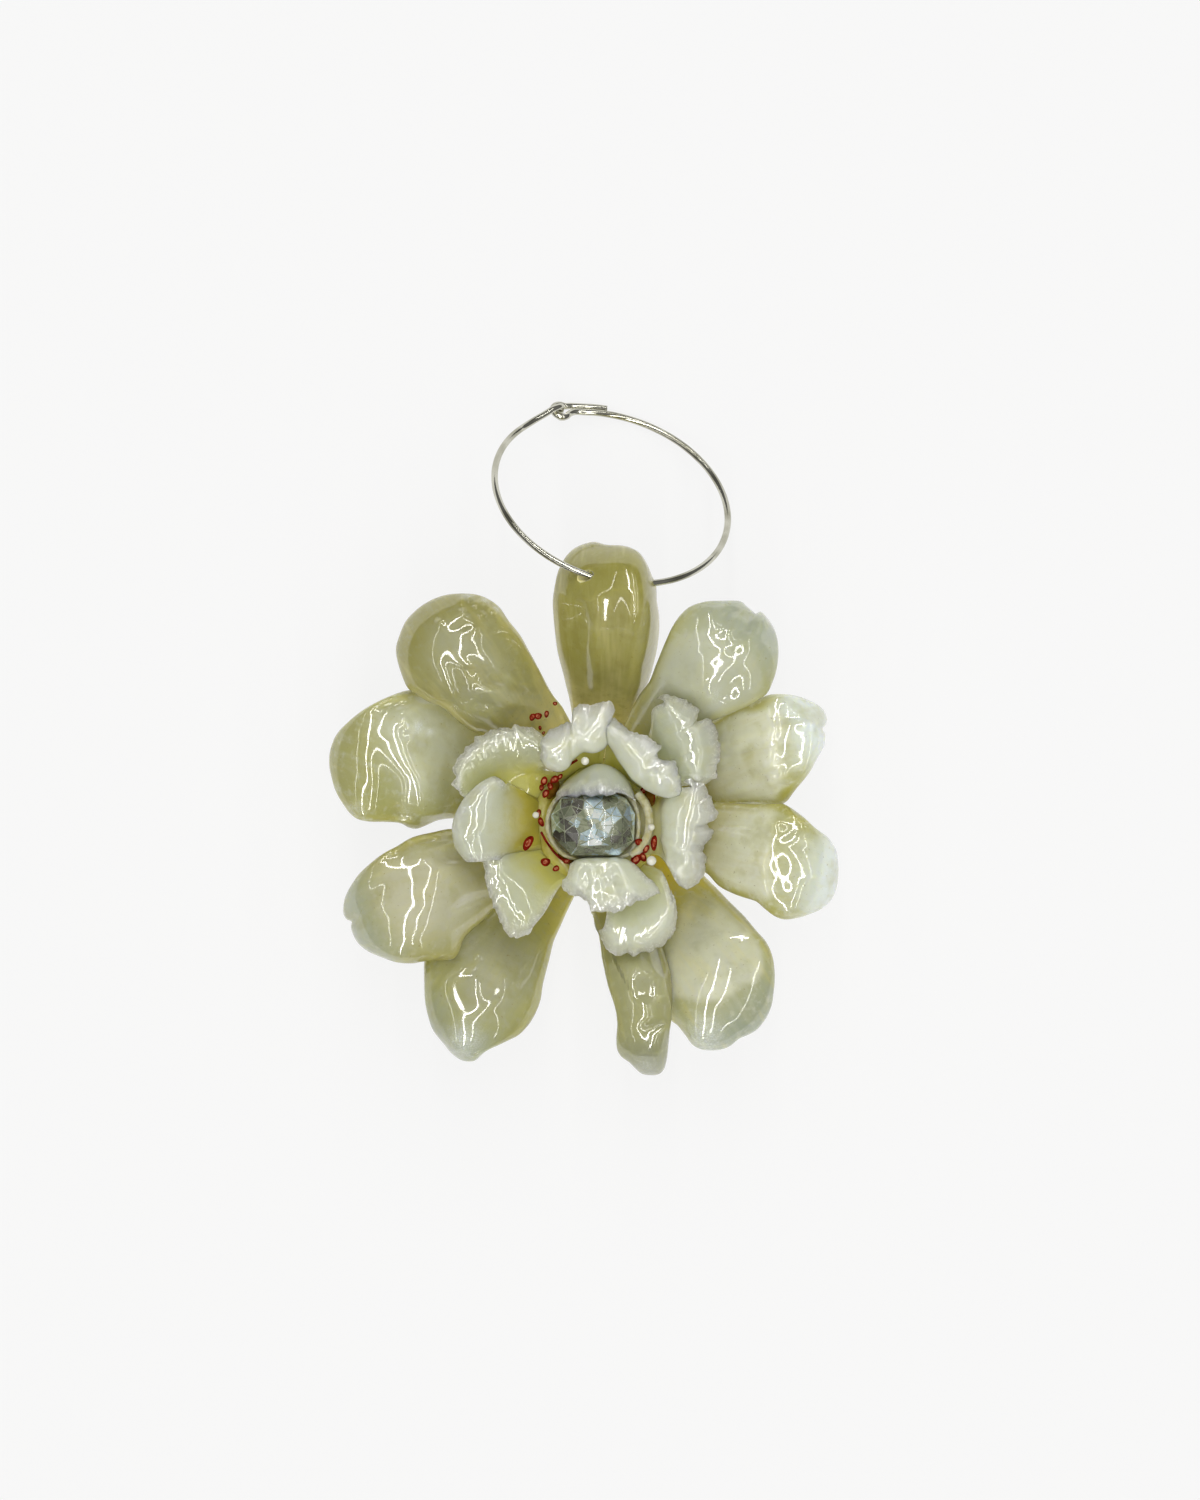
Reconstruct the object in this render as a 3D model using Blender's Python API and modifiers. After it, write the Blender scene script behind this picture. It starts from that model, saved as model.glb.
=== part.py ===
"""Flower charm on a wire ear hoop: a resin-dipped bloom with a faceted crystal in its middle.

The charm lies on its back. +Z looks out of the bloom, +Y runs from its middle to the petal that the hoop
hangs from, and the origin is the middle of the flat cut under the receptacle. Lengths are in millimetres
and are turned into metres when a mesh is made.
"""

import math
from collections import namedtuple

import bmesh
import bpy
from mathutils import Matrix, Vector

MM = 0.001
COLLECTION = "flower_charm"

# Driving dimensions
HOOP_RADIUS = 12.5  # centreline of a 25 mm ear hoop
WIRE_RADIUS = 0.35
CRYSTAL_RADIUS = 4.75
OUTER_THICKNESS = 1.5
INNER_THICKNESS = 1.1
FIT_GAP = 0.3  # between pieces that touch

TURN_STEPS = 32  # sides of a turned piece

# Receptacle: a turned knob that carries every petal root
BASE_RADIUS = 4.6
HUB_RADIUS = 4.9
HUB_TOP = 11.0
HUB_CHAMFER = 0.5
ROOT_RADIUS = HUB_RADIUS + 0.5  # clear of the hub at both faces of a sloping root

# Heights of the petal roots, from the outer whorls up to the innermost
OUTER_LOW, OUTER_HIGH, INNER_LOW, INNER_MID, INNER_TOP = 3.0, 5.3, 7.4, 8.9, 10.3

# An outer petal: the way it points, its reach and sideways bend, half its greatest width and where that
# is, half its width at the root, then the heights of its spine's four controls, how far its sides drop
# below the crest of its arch, and where across it the crest is
OuterPetal = namedtuple("OuterPetal", "name azimuth reach bend half_width widest neck heights arch crest")
OUTER_PETALS = (
    OuterPetal("petal_top", 85.5, 28.5, 1.3, 5.0, 0.76, 2.9, (OUTER_LOW, 1.5, 31.0, 16.0), 5.6, -0.55),
    OuterPetal("petal_upper_left", 129.5, 28.7, -0.4, 5.8, 0.70, 2.6, (OUTER_HIGH, 7.5, 26.5, 14.0), 3.0, 0.1),
    OuterPetal("petal_left", 164.5, 28.2, -1.2, 6.3, 0.68, 2.6, (OUTER_LOW, 2.0, 22.0, 13.0), 2.0, 0.0),
    OuterPetal("petal_lower_left", 202.0, 27.4, 0.3, 6.1, 0.66, 2.6, (OUTER_HIGH, 7.5, 25.0, 13.5), 2.5, 0.1),
    OuterPetal("petal_bottom_left", 237.0, 28.0, 0.2, 5.4, 0.66, 2.6, (OUTER_LOW, 2.0, 22.0, 12.5), 2.5, 0.1),
    OuterPetal("petal_bottom", 282.2, 26.3, 0.2, 2.8, 0.55, 2.2, (OUTER_HIGH, 7.0, 24.5, 12.5), 1.6, 0.2),
    OuterPetal("petal_bottom_right", 306.0, 27.0, -0.6, 5.9, 0.70, 2.3, (OUTER_LOW, 2.0, 22.0, 12.5), 2.2, -0.1),
    OuterPetal("petal_right_lower", 347.5, 25.6, 0.0, 5.5, 0.72, 2.5, (OUTER_HIGH, 7.5, 26.0, 13.0), 2.2, 0.0),
    OuterPetal("petal_right_upper", 22.5, 25.3, 0.0, 5.2, 0.72, 2.5, (OUTER_LOW, 2.0, 23.0, 13.5), 2.0, 0.0),
    OuterPetal("petal_upper_right", 53.5, 27.2, 0.0, 5.5, 0.70, 2.5, (OUTER_HIGH, 7.5, 26.0, 14.0), 2.0, 0.0),
)
OUTER_STEPS = (12, 10)  # faces along and across
ARCH_POWER = 1.6

# An inner petal stands up from its root and rolls outwards: its spine's two middle controls and its rim
# are points of reach and height, wrap is how far its sides close towards the middle, and its rim is cut
# into teeth
InnerPetal = namedtuple("InnerPetal", "name azimuth root low high rim half_width neck wrap teeth")
INNER_PETALS = (
    InnerPetal("frill_upper_left", 150, INNER_LOW, (10.5, 7.4), (11.5, 18.0), (15.2, 16.5), 5.0, 1.3, 1.6, 5),
    InnerPetal("frill_lower_left", 228, INNER_LOW, (10.5, 7.4), (10.5, 19.0), (14.8, 17.0), 4.3, 1.3, 1.2, 3),
    InnerPetal("frill_bottom_right", 293, INNER_LOW, (10.0, 7.4), (10.0, 18.0), (14.0, 16.0), 4.0, 1.3, 1.2, 2),
    InnerPetal("frill_upper_right", 42, INNER_LOW, (10.2, 8.0), (11.5, 19.0), (16.0, 17.5), 4.6, 1.3, 1.2, 2),
    InnerPetal("frill_left", 183, INNER_MID, (9.5, 9.0), (9.5, 21.5), (15.0, 18.5), 4.4, 1.3, 1.0, 2),
    InnerPetal("frill_right", 354, INNER_MID, (9.5, 9.0), (8.5, 21.5), (12.6, 19.0), 4.9, 1.3, 1.2, 3),
    InnerPetal("frill_top_left", 110, INNER_MID, (9.5, 9.0), (9.0, 21.0), (12.6, 19.5), 3.9, 1.3, 1.0, 2),
    InnerPetal("frill_top_right", 52, INNER_TOP, (9.4, 10.3), (8.2, 19.0), (10.2, 21.5), 4.4, 1.3, 1.4, 3),
    InnerPetal("frill_bottom", 272, INNER_TOP, (8.0, 10.3), (5.5, 19.0), (9.4, 21.0), 4.6, 1.3, 1.0, 2),
    InnerPetal("bud_petal", 87, INNER_TOP, (6.4, 10.3), (6.7, 14.0), (6.3, 17.5), 2.4, 1.3, 0.8, 2),
)
INNER_STEPS = (9, 10)
INNER_WIDEST = 0.75
RIM_LIFT = 0.3  # how far a rim's corners rise, as a share of the wrap
TOOTH_DEPTH = 0.06  # as a share of the petal's length

# Crystal, and the clear resin collar that holds its lower half
CRYSTAL_HEIGHT = HUB_TOP + FIT_GAP + CRYSTAL_RADIUS
CRYSTAL_FACETS = (12, 8)  # round it and from pole to pole
COLLAR_FOOT = 3.4
COLLAR_RIM = 5.15
COLLAR_RIM_HEIGHT = 14.0
COLLAR_WAIST = (4.65, 12.6)  # radius and height

# Stamens: a foot ring on the receptacle, filaments that lean out past the collar, and beads at their
# ends, each given as the way it points, its reach, its height and its radius
STAMEN_RING = 4.75
STAMEN_RING_THICKNESS = 0.5
FILAMENT_RADIUS = 0.3
FILAMENT_TAPER = 0.12  # the outer run is this much thinner
KNEE_LEAN = 0.9  # how far a filament's knee stands out from the straight line
BEAD_STRETCH = 1.35
RED_BEAD, PALE_BEAD = 0.62, 0.5
BEADS = (
    (134, 6.9, 16.8, RED_BEAD), (126, 6.1, 16.0, RED_BEAD), (144, 6.2, 15.6, RED_BEAD),
    (155, 6.6, 17.0, RED_BEAD), (168, 5.9, 16.2, RED_BEAD), (190, 6.3, 15.4, RED_BEAD),
    (200, 7.3, 16.4, RED_BEAD), (212, 6.2, 16.8, RED_BEAD), (224, 7.0, 16.0, RED_BEAD),
    (236, 6.0, 15.8, RED_BEAD), (314, 5.9, 16.2, RED_BEAD), (324, 6.8, 16.0, RED_BEAD),
    (342, 5.9, 16.6, RED_BEAD), (26, 6.2, 16.6, RED_BEAD), (116, 6.4, 17.8, PALE_BEAD),
    (179, 6.6, 18.2, PALE_BEAD), (333, 7.4, 17.6, PALE_BEAD), (353, 5.9, 17.6, PALE_BEAD),
)  # fmt: skip

# Ear hoop: its plane leans back from the petal, so its far side rests on the surface
HOOP_CENTRE = (1.6, 33.75)
HOOP_TURN = -19.6  # its level diameter's direction
HOOP_TILT = 46.5
HOOP_ENTRY, HOOP_EXIT = -86.3, -54.7  # where the wire goes into the petal and comes out
CLASP_ANGLE = 126.0
EYE_RADIUS = 0.95
TAIL_LIFT = 0.8  # between the centrelines of the wire and of the tail beside it
TAIL_ANGLE = 103.0
HOLE_CLEARANCE = 0.28
HOLE_OVERRUN = 2.6  # how far the cutter runs past each hole
HOOP_STEPS = 46

# Materials: base colour, roughness, metallic
RESIN_OLIVE = ("resin_olive", (0.42, 0.40, 0.16), 0.15, 0.0)
RESIN_PALE = ("resin_pale", (0.62, 0.64, 0.42), 0.15, 0.0)
RESIN_IVORY = ("resin_ivory", (0.78, 0.79, 0.60), 0.2, 0.0)
RESIN_CLEAR = ("resin_clear", (0.80, 0.82, 0.76), 0.05, 0.0)
CRYSTAL_GLASS = ("crystal_glass", (0.30, 0.34, 0.36), 0.03, 0.0)
BEAD_RED = ("bead_red", (0.35, 0.02, 0.01), 0.2, 0.0)
SILVER = ("silver", (0.76, 0.76, 0.75), 0.15, 1.0)


def bezier(controls, s):
    """A cubic's value at s, from its four controls."""
    a, b, c, d = controls
    r = 1 - s
    return r * r * r * a + 3 * r * r * s * b + 3 * r * s * s * c + s * s * s * d


def smooth(x):
    """An even rise from 0 to 1."""
    x = min(max(x, 0.0), 1.0)
    return x * x * (3 - 2 * x)


def rounded(s, t, widest):
    """Where a square grid's point lands on a blade with a round end: its share along and across."""
    q = (s - widest) / (1 - widest)
    if q <= 0:
        return s, t
    return widest + (1 - widest) * q * math.sqrt(1 - t * t / 2), t * math.sqrt(1 - q * q / 2)


def clear_scene():
    for thing in list(bpy.data.objects):
        bpy.data.objects.remove(thing)
    for group in list(bpy.data.collections):
        bpy.data.collections.remove(group)


def collection(name):
    group = bpy.data.collections.new(name)
    bpy.context.scene.collection.children.link(group)
    return group


def material(spec):
    """The Principled material of a finish, made once."""
    name, colour, roughness, metallic = spec
    found = bpy.data.materials.get(name)
    if found:
        return found
    made = bpy.data.materials.new(name)
    made.use_nodes = True
    shader = made.node_tree.nodes["Principled BSDF"]
    shader.inputs["Base Color"].default_value = (*colour, 1.0)
    shader.inputs["Roughness"].default_value = roughness
    shader.inputs["Metallic"].default_value = metallic
    made.diffuse_color = (*colour, 1.0)
    return made


def add(name, data, group, spec=None):
    """A new object of a mesh or curve, with its finish."""
    thing = bpy.data.objects.new(name, data)
    group.objects.link(thing)
    if spec:
        data.materials.append(material(spec))
    return thing


def mesh_from(name, bm, smooth_shade=True):
    """A mesh in metres from one edited in millimetres."""
    bmesh.ops.scale(bm, vec=(MM, MM, MM), verts=bm.verts)
    data = bpy.data.meshes.new(name)
    bm.to_mesh(data)
    bm.free()
    if smooth_shade:
        data.shade_smooth()
        data.set_sharp_from_angle(angle=math.radians(50))
    return data


def blade(name, steps, place):
    """An open blade: a grid whose points, given as a share along and across, are placed by a function."""
    along, across = steps
    bm = bmesh.new()
    bmesh.ops.create_grid(bm, x_segments=along, y_segments=across, size=1.0)
    for vert in bm.verts:
        vert.co = place((vert.co.x + 1) / 2, vert.co.y)
    bmesh.ops.triangulate(bm, faces=bm.faces, quad_method="SHORT_EDGE")
    return mesh_from(name, bm)


def thicken(thing, thickness):
    shell = thing.modifiers.new("shell", "SOLIDIFY")
    shell.thickness = thickness * MM
    shell.offset = 0.0


def outer_petal(petal, group, spec):
    """A spoon-shaped blade: narrow at the root, arched across, rising to a crest and turned down at its tip."""

    def place(s, t):
        s, t = rounded(s, t, petal.widest)
        half = petal.neck + (petal.half_width - petal.neck) * smooth(s / petal.widest)
        room = 1 - petal.crest if t > petal.crest else 1 + petal.crest
        side = abs(t - petal.crest) / room
        droop = petal.arch * side**ARCH_POWER * smooth(s / petal.widest)
        height = bezier(petal.heights, s) - droop
        return Vector((ROOT_RADIUS + (petal.reach - ROOT_RADIUS) * s, t * half + petal.bend * s * s, height))

    thing = add(petal.name, blade(petal.name, OUTER_STEPS, place), group, spec)
    thing.rotation_euler.z = math.radians(petal.azimuth)
    thicken(thing, OUTER_THICKNESS)
    return thing


def inner_petal(petal, group):
    """A blade that stands up, closes a little round the middle and rolls out to a toothed rim."""
    reaches = (ROOT_RADIUS, petal.low[0], petal.high[0], petal.rim[0])
    heights = (petal.root, petal.low[1], petal.high[1], petal.rim[1])

    def place(s, t):
        tooth = 0.5 - 0.5 * math.cos(math.pi * petal.teeth * (t + 1))
        s, t = rounded(s, t, INNER_WIDEST)
        half = petal.neck + (petal.half_width - petal.neck) * smooth(s / INNER_WIDEST)
        s -= TOOTH_DEPTH * tooth * s**6
        reach = bezier(reaches, s) - petal.wrap * t * t * smooth(s)
        return Vector((reach, t * half, bezier(heights, s) + RIM_LIFT * petal.wrap * t * t * s))

    thing = add(petal.name, blade(petal.name, INNER_STEPS, place), group, RESIN_IVORY)
    thing.rotation_euler.z = math.radians(petal.azimuth)
    thicken(thing, INNER_THICKNESS)
    return thing


def turned(name, profile, group, spec, steps=TURN_STEPS):
    """A profile of (radius, height) points, down its outer side first, turned about Z."""
    bm = bmesh.new()
    verts = [bm.verts.new((radius, 0.0, height)) for radius, height in profile]
    for first, second in zip(verts, verts[1:]):
        bm.edges.new((first, second))
    thing = add(name, mesh_from(name, bm), group, spec)
    turn = thing.modifiers.new("turn", "SCREW")
    turn.steps = steps
    turn.render_steps = steps
    turn.use_merge_vertices = True
    turn.merge_threshold = 0.00001
    return thing


def receptacle(group):
    profile = (
        (0.0, HUB_TOP),
        (HUB_RADIUS - HUB_CHAMFER, HUB_TOP),
        (HUB_RADIUS, HUB_TOP - HUB_CHAMFER),
        (HUB_RADIUS, HUB_CHAMFER),
        (BASE_RADIUS, 0.0),
        (0.0, 0.0),
    )
    return turned("receptacle", profile, group, RESIN_OLIVE)


def crystal(group):
    """A round bead cut in rings of facets round a flat top and foot."""
    bm = bmesh.new()
    around, down = CRYSTAL_FACETS
    bmesh.ops.create_uvsphere(bm, u_segments=around, v_segments=down, radius=CRYSTAL_RADIUS)
    thing = add("crystal", mesh_from("crystal", bm, smooth_shade=False), group, CRYSTAL_GLASS)
    thing.location.z = CRYSTAL_HEIGHT * MM
    return thing


def collar(group):
    """A ring of clear resin between the crystal's lower half and the stamens."""
    inside = CRYSTAL_RADIUS + FIT_GAP

    def inner(height):
        return math.sqrt(inside**2 - (height - CRYSTAL_HEIGHT) ** 2)

    foot = HUB_TOP + FIT_GAP
    levels = [foot + (COLLAR_RIM_HEIGHT - foot) * step / 4 for step in range(5)]
    profile = [(COLLAR_RIM, COLLAR_RIM_HEIGHT), COLLAR_WAIST, (COLLAR_FOOT, foot)]
    profile += [(inner(level), level) for level in levels]
    return turned("collar", profile + profile[:1], group, RESIN_CLEAR)


def polar(azimuth, reach, height):
    angle = math.radians(azimuth)
    return Vector((reach * math.cos(angle), reach * math.sin(angle), height))


def rod(bm, start, end, radius, sides=5):
    """A straight rod between two points."""
    run = end - start
    turn = run.to_track_quat("Z", "Y").to_matrix().to_4x4()
    matrix = Matrix.Translation((start + end) / 2) @ turn
    bmesh.ops.create_cone(
        bm, cap_ends=True, segments=sides, radius1=radius, radius2=radius, depth=run.length, matrix=matrix
    )


def stamen(index, azimuth, reach, height, bead, loose):
    """One filament in two straight runs, with a longish bead at its end."""
    ring_height = HUB_TOP + FIT_GAP + STAMEN_RING_THICKNESS
    foot = polar(azimuth, STAMEN_RING, ring_height)
    knee = polar(azimuth, (STAMEN_RING + reach) / 2 + KNEE_LEAN, (ring_height + height) / 2)
    head = polar(azimuth, reach, height)
    for part, (start, end) in enumerate(((foot, knee), (knee, head))):
        bm = bmesh.new()
        radius = FILAMENT_RADIUS * (1 - FILAMENT_TAPER * part)
        lap = (end - start).normalized() * radius * 0.6
        rod(bm, start - lap, end + lap, radius)
        add(f"filament_{index}_{part}", mesh_from("filament", bm), loose)
    bm = bmesh.new()
    stretch = Matrix.Diagonal((1.0, 1.0, BEAD_STRETCH, 1.0))
    lean = (head - knee).to_track_quat("Z", "Y").to_matrix().to_4x4()
    matrix = Matrix.Translation(head) @ lean @ stretch
    bmesh.ops.create_uvsphere(bm, u_segments=6, v_segments=4, radius=bead, matrix=matrix)
    add(f"bead_{index}", mesh_from("bead", bm), loose)


def stamens(group):
    """Beads on filaments that spring from a foot ring, joined into one solid."""
    loose = collection("stamens_loose")
    bpy.ops.mesh.primitive_torus_add(
        major_segments=24,
        minor_segments=5,
        major_radius=STAMEN_RING * MM,
        minor_radius=STAMEN_RING_THICKNESS * MM,
        location=(0, 0, (HUB_TOP + FIT_GAP + STAMEN_RING_THICKNESS) * MM),
    )
    ring = bpy.context.active_object
    for holder in list(ring.users_collection):
        holder.objects.unlink(ring)
    for index, (azimuth, reach, height, bead) in enumerate(BEADS):
        stamen(index, azimuth, reach, height, bead, loose)
    thing = add("stamens", ring.data, group, BEAD_RED)
    thing.matrix_world = ring.matrix_world
    bpy.data.objects.remove(ring)
    union = thing.modifiers.new("join", "BOOLEAN")
    union.operation = "UNION"
    union.operand_type = "COLLECTION"
    union.collection = loose
    bake(thing)
    for piece in list(loose.objects):
        bpy.data.objects.remove(piece)
    bpy.data.collections.remove(loose)
    return thing


def bake(thing):
    """Apply an object's modifiers to its mesh."""
    bpy.context.view_layer.update()
    shape = thing.evaluated_get(bpy.context.evaluated_depsgraph_get())
    data = bpy.data.meshes.new_from_object(shape)
    data.name = thing.name
    thing.modifiers.clear()
    thing.data = data


def hoop_axes():
    """The hoop's plane as a rotation: its level diameter, the way it leans down, and its normal."""
    turn, tilt = math.radians(HOOP_TURN), math.radians(HOOP_TILT)
    across = Vector((math.cos(turn), math.sin(turn), 0.0))
    away = Vector((-math.sin(turn) * math.cos(tilt), math.cos(turn) * math.cos(tilt), -math.sin(tilt)))
    return Matrix((across, away, across.cross(away))).transposed()


def hoop_point(angle, radius=HOOP_RADIUS, lift=0.0):
    """A point in the hoop's own axes, from the middle of the hoop."""
    turn = math.radians(angle)
    return Vector((radius * math.cos(turn), radius * math.sin(turn), lift))


def hoop_chord():
    """The middle of the straight line between the two holes, and its direction, in the hoop's axes."""
    start, end = hoop_point(HOOP_ENTRY), hoop_point(HOOP_EXIT)
    return (start + end) / 2, (end - start).normalized()


def hoop_middle():
    """The middle of the hoop, as high as lets the tail beside the clasp rest on the surface."""
    lowest = (HOOP_RADIUS + TAIL_LIFT) * math.sin(math.radians(HOOP_TILT)) * math.sin(math.radians(TAIL_ANGLE))
    return Vector((*HOOP_CENTRE, lowest + WIRE_RADIUS))


def eased(points, rounds=2):
    """A path with its corners cut, so that a wire bends round them."""
    for _ in range(rounds):
        cut = [points[0]]
        for first, second in zip(points, points[1:]):
            cut += [first.lerp(second, 0.25), first.lerp(second, 0.75)]
        points = cut + [points[-1]]
    return points


def clasp_point(along, out, lift=0.0):
    """A point beside the clasp's middle: along the hoop, outwards from its centreline, and out of plane."""
    angle = math.radians(CLASP_ANGLE)
    outward = Vector((math.cos(angle), math.sin(angle), 0.0))
    onward = Vector((-math.sin(angle), math.cos(angle), 0.0))
    return outward * (HOOP_RADIUS + out) + onward * along + Vector((0.0, 0.0, lift))


def hoop_path():
    """The wire's centreline, from its hooked end, which goes down through the eye, to the eye and the tail."""
    hook = [
        clasp_point(-0.7, 0.5, -1.2),
        clasp_point(-0.05, 0.4, -0.9),
        clasp_point(0.1, 0.4, 0.0),
        clasp_point(0.25, 0.35, 0.95),
        clasp_point(1.3, 0.15, 1.1),
        hoop_point(CLASP_ANGLE + 12, lift=0.75),
        hoop_point(CLASP_ANGLE + 18, lift=0.3),
        hoop_point(CLASP_ANGLE + 25),
    ]
    first, last = CLASP_ANGLE - 360 + 28, CLASP_ANGLE - 12
    round_hoop = [hoop_point(first + (last - first) * step / HOOP_STEPS) for step in range(HOOP_STEPS + 1)]
    middle = TAIL_LIFT / 2
    eye = []
    for turn in range(-120, 121, 40):
        angle = math.radians(turn)
        eye.append(clasp_point(EYE_RADIUS * math.cos(angle), middle + EYE_RADIUS * math.sin(angle)))
    neck = EYE_RADIUS + 1.0
    out = clasp_point(-neck, TAIL_LIFT + 0.05)
    tail = [hoop_point(angle, HOOP_RADIUS + TAIL_LIFT) for angle in (113.0, 108.0, TAIL_ANGLE)]
    return eased(hook, 1) + round_hoop + eased([clasp_point(-neck, 0.0)] + eye + [out]) + tail


def ear_hoop(group):
    """The hoop of round wire, with its origin on the line between the petal's two holes."""
    pivot, _ = hoop_chord()
    points = [(point - pivot) * MM for point in hoop_path()]
    data = bpy.data.curves.new("ear_hoop", "CURVE")
    data.dimensions = "3D"
    data.bevel_depth = WIRE_RADIUS * MM
    data.bevel_resolution = 2
    data.use_fill_caps = True
    line = data.splines.new("POLY")
    line.points.add(len(points) - 1)
    for slot, point in zip(line.points, points):
        slot.co = (*point, 1.0)
    thing = add("ear_hoop", data, group, SILVER)
    axes = hoop_axes()
    thing.matrix_world = Matrix.Translation((hoop_middle() + axes @ pivot) * MM) @ axes.to_4x4()
    return thing


def wire_holes(cutters):
    """A spindle round the line between the holes, wide enough for the wire's curve as the hoop swings."""
    pivot, direction = hoop_chord()
    reach = (hoop_point(HOOP_EXIT) - hoop_point(HOOP_ENTRY)).length / 2
    end = reach + HOLE_OVERRUN
    stations = [end * (step / 8 - 1) for step in range(17)]
    profile = []
    for station in stations:
        sag = math.sqrt(HOOP_RADIUS**2 - station**2) - pivot.length
        profile.append((abs(sag) + WIRE_RADIUS + HOLE_CLEARANCE, -station))
    profile = [(0.0, profile[0][1])] + profile + [(0.0, profile[-1][1])]
    thing = turned("wire_holes", profile, cutters, None, steps=16)
    axes = hoop_axes()
    turn = (axes @ direction).to_track_quat("Z", "Y").to_matrix().to_4x4()
    thing.matrix_world = Matrix.Translation((hoop_middle() + axes @ pivot) * MM) @ turn
    thing.hide_render = True
    thing.display_type = "WIRE"
    return thing


def cut(thing, cutter):
    hole = thing.modifiers.new(cutter.name, "BOOLEAN")
    hole.operation = "DIFFERENCE"
    hole.object = cutter


def main():
    clear_scene()
    parts = collection(COLLECTION)
    cutters = collection("cutters")
    receptacle(parts)
    olive = ("petal_top", "petal_upper_left", "petal_left", "petal_lower_left")
    petals = {}
    for petal in OUTER_PETALS:
        petals[petal.name] = outer_petal(petal, parts, RESIN_OLIVE if petal.name in olive else RESIN_PALE)
    for petal in INNER_PETALS:
        inner_petal(petal, parts)
    crystal(parts)
    collar(parts)
    stamens(parts)
    ear_hoop(parts)
    cut(petals["petal_top"], wire_holes(cutters))


main()
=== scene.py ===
"""Looks for the flower hoop earring: resin petals, crystal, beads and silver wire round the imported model.

Lengths are in millimetres until a mesh is made. Outlines and strokes are given in the photograph's pixels,
which at() turns into millimetres at a height: the camera looks straight down from CAMERA_HEIGHT.
"""

import math

import bmesh
import bpy
import numpy as np
from mathutils import Matrix, Vector, noise


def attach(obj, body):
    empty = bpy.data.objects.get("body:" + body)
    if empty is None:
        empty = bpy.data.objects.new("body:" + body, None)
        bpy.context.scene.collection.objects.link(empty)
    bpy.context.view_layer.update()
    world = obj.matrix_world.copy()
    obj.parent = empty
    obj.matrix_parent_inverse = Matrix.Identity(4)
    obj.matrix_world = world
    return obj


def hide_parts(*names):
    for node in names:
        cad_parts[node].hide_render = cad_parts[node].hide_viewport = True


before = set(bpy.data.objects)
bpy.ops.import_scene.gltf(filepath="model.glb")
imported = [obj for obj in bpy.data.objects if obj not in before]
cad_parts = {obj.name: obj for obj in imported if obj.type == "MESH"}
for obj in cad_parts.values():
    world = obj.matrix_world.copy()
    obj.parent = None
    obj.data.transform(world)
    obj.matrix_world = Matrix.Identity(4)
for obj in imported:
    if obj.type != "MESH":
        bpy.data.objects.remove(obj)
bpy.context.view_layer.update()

MM = 0.001
PIXEL = 0.1037  # millimetres a pixel, on the plane that the camera is focused on
PIXEL_ORIGIN = (596.0, 822.0)
AXIS = (0.41, 7.47)  # what the camera looks at
FOCUS_HEIGHT = 12.0
CAMERA_HEIGHT = FOCUS_HEIGHT + 1000.0
FRAME_HEIGHT = 155.6  # of the whole picture on the focused plane
SENSOR = 36.0

HUB_TOP = 11.0
ROOT_RADIUS = 5.4
CRYSTAL_RADIUS = 4.75
CRYSTAL_HEIGHT = HUB_TOP + 0.3 + CRYSTAL_RADIUS


def at(px, py, z):
    """The point at a height z that the photograph shows at a pixel."""
    near = (CAMERA_HEIGHT - z) / (CAMERA_HEIGHT - FOCUS_HEIGHT)
    x = (px - PIXEL_ORIGIN[0]) * PIXEL
    y = (PIXEL_ORIGIN[1] - py) * PIXEL
    return np.array((AXIS[0] + (x - AXIS[0]) * near, AXIS[1] + (y - AXIS[1]) * near, z))


def plan(pixels, z=13.0):
    """Pixels as points of the plan, in millimetres."""
    return np.array([at(px, py, z)[:2] for px, py in pixels])


def smooth(x):
    """A soft step from 0 to 1."""
    x = np.clip(x, 0.0, 1.0)
    return x * x * (3 - 2 * x)


def bezier(controls, s):
    """A cubic curve's value at a share s of its way."""
    a, b, c, d = controls
    r = 1 - s
    return r * r * r * a + 3 * r * r * s * b + 3 * r * s * s * c + s * s * s * d


def spline(points, count, closed=False, fine=16):
    """A smooth curve through points, as evenly spaced points of its own."""
    p = np.asarray(points, float)
    before, after = (p[-1:], p[:2]) if closed else (2 * p[:1] - p[1:2], 2 * p[-1:] - p[-2:-1])
    p = np.vstack([before, p, after])
    u = np.linspace(0, 1, fine, endpoint=False)[:, None]
    runs = [
        0.5 * (2 * b + (c - a) * u + (2 * a - 5 * b + 4 * c - d) * u**2 + (3 * b - a - 3 * c + d) * u**3)
        for a, b, c, d in zip(p, p[1:], p[2:], p[3:])
    ]
    dense = np.vstack(runs + [p[-2:-1]])
    run = np.concatenate([[0.0], np.cumsum(np.linalg.norm(np.diff(dense, axis=0), axis=1))])
    stations = np.linspace(0, run[-1], count, endpoint=not closed)
    return np.stack([np.interp(stations, run, dense[:, k]) for k in range(dense.shape[1])], 1)


def distance(points, x, y, closed=False):
    """How far each place of the plan is from a line through points."""
    p = np.asarray(points, float)
    if len(p) == 1:
        return np.hypot(x - p[0, 0], y - p[0, 1])
    if closed:
        p = np.vstack([p, p[:1]])
    least = np.full(np.shape(x), 1e9)
    for (ax, ay), (bx, by) in zip(p, p[1:]):
        dx, dy = bx - ax, by - ay
        t = np.clip(((x - ax) * dx + (y - ay) * dy) / max(dx * dx + dy * dy, 1e-12), 0, 1)
        least = np.minimum(least, np.hypot(x - ax - t * dx, y - ay - t * dy))
    return least


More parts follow.
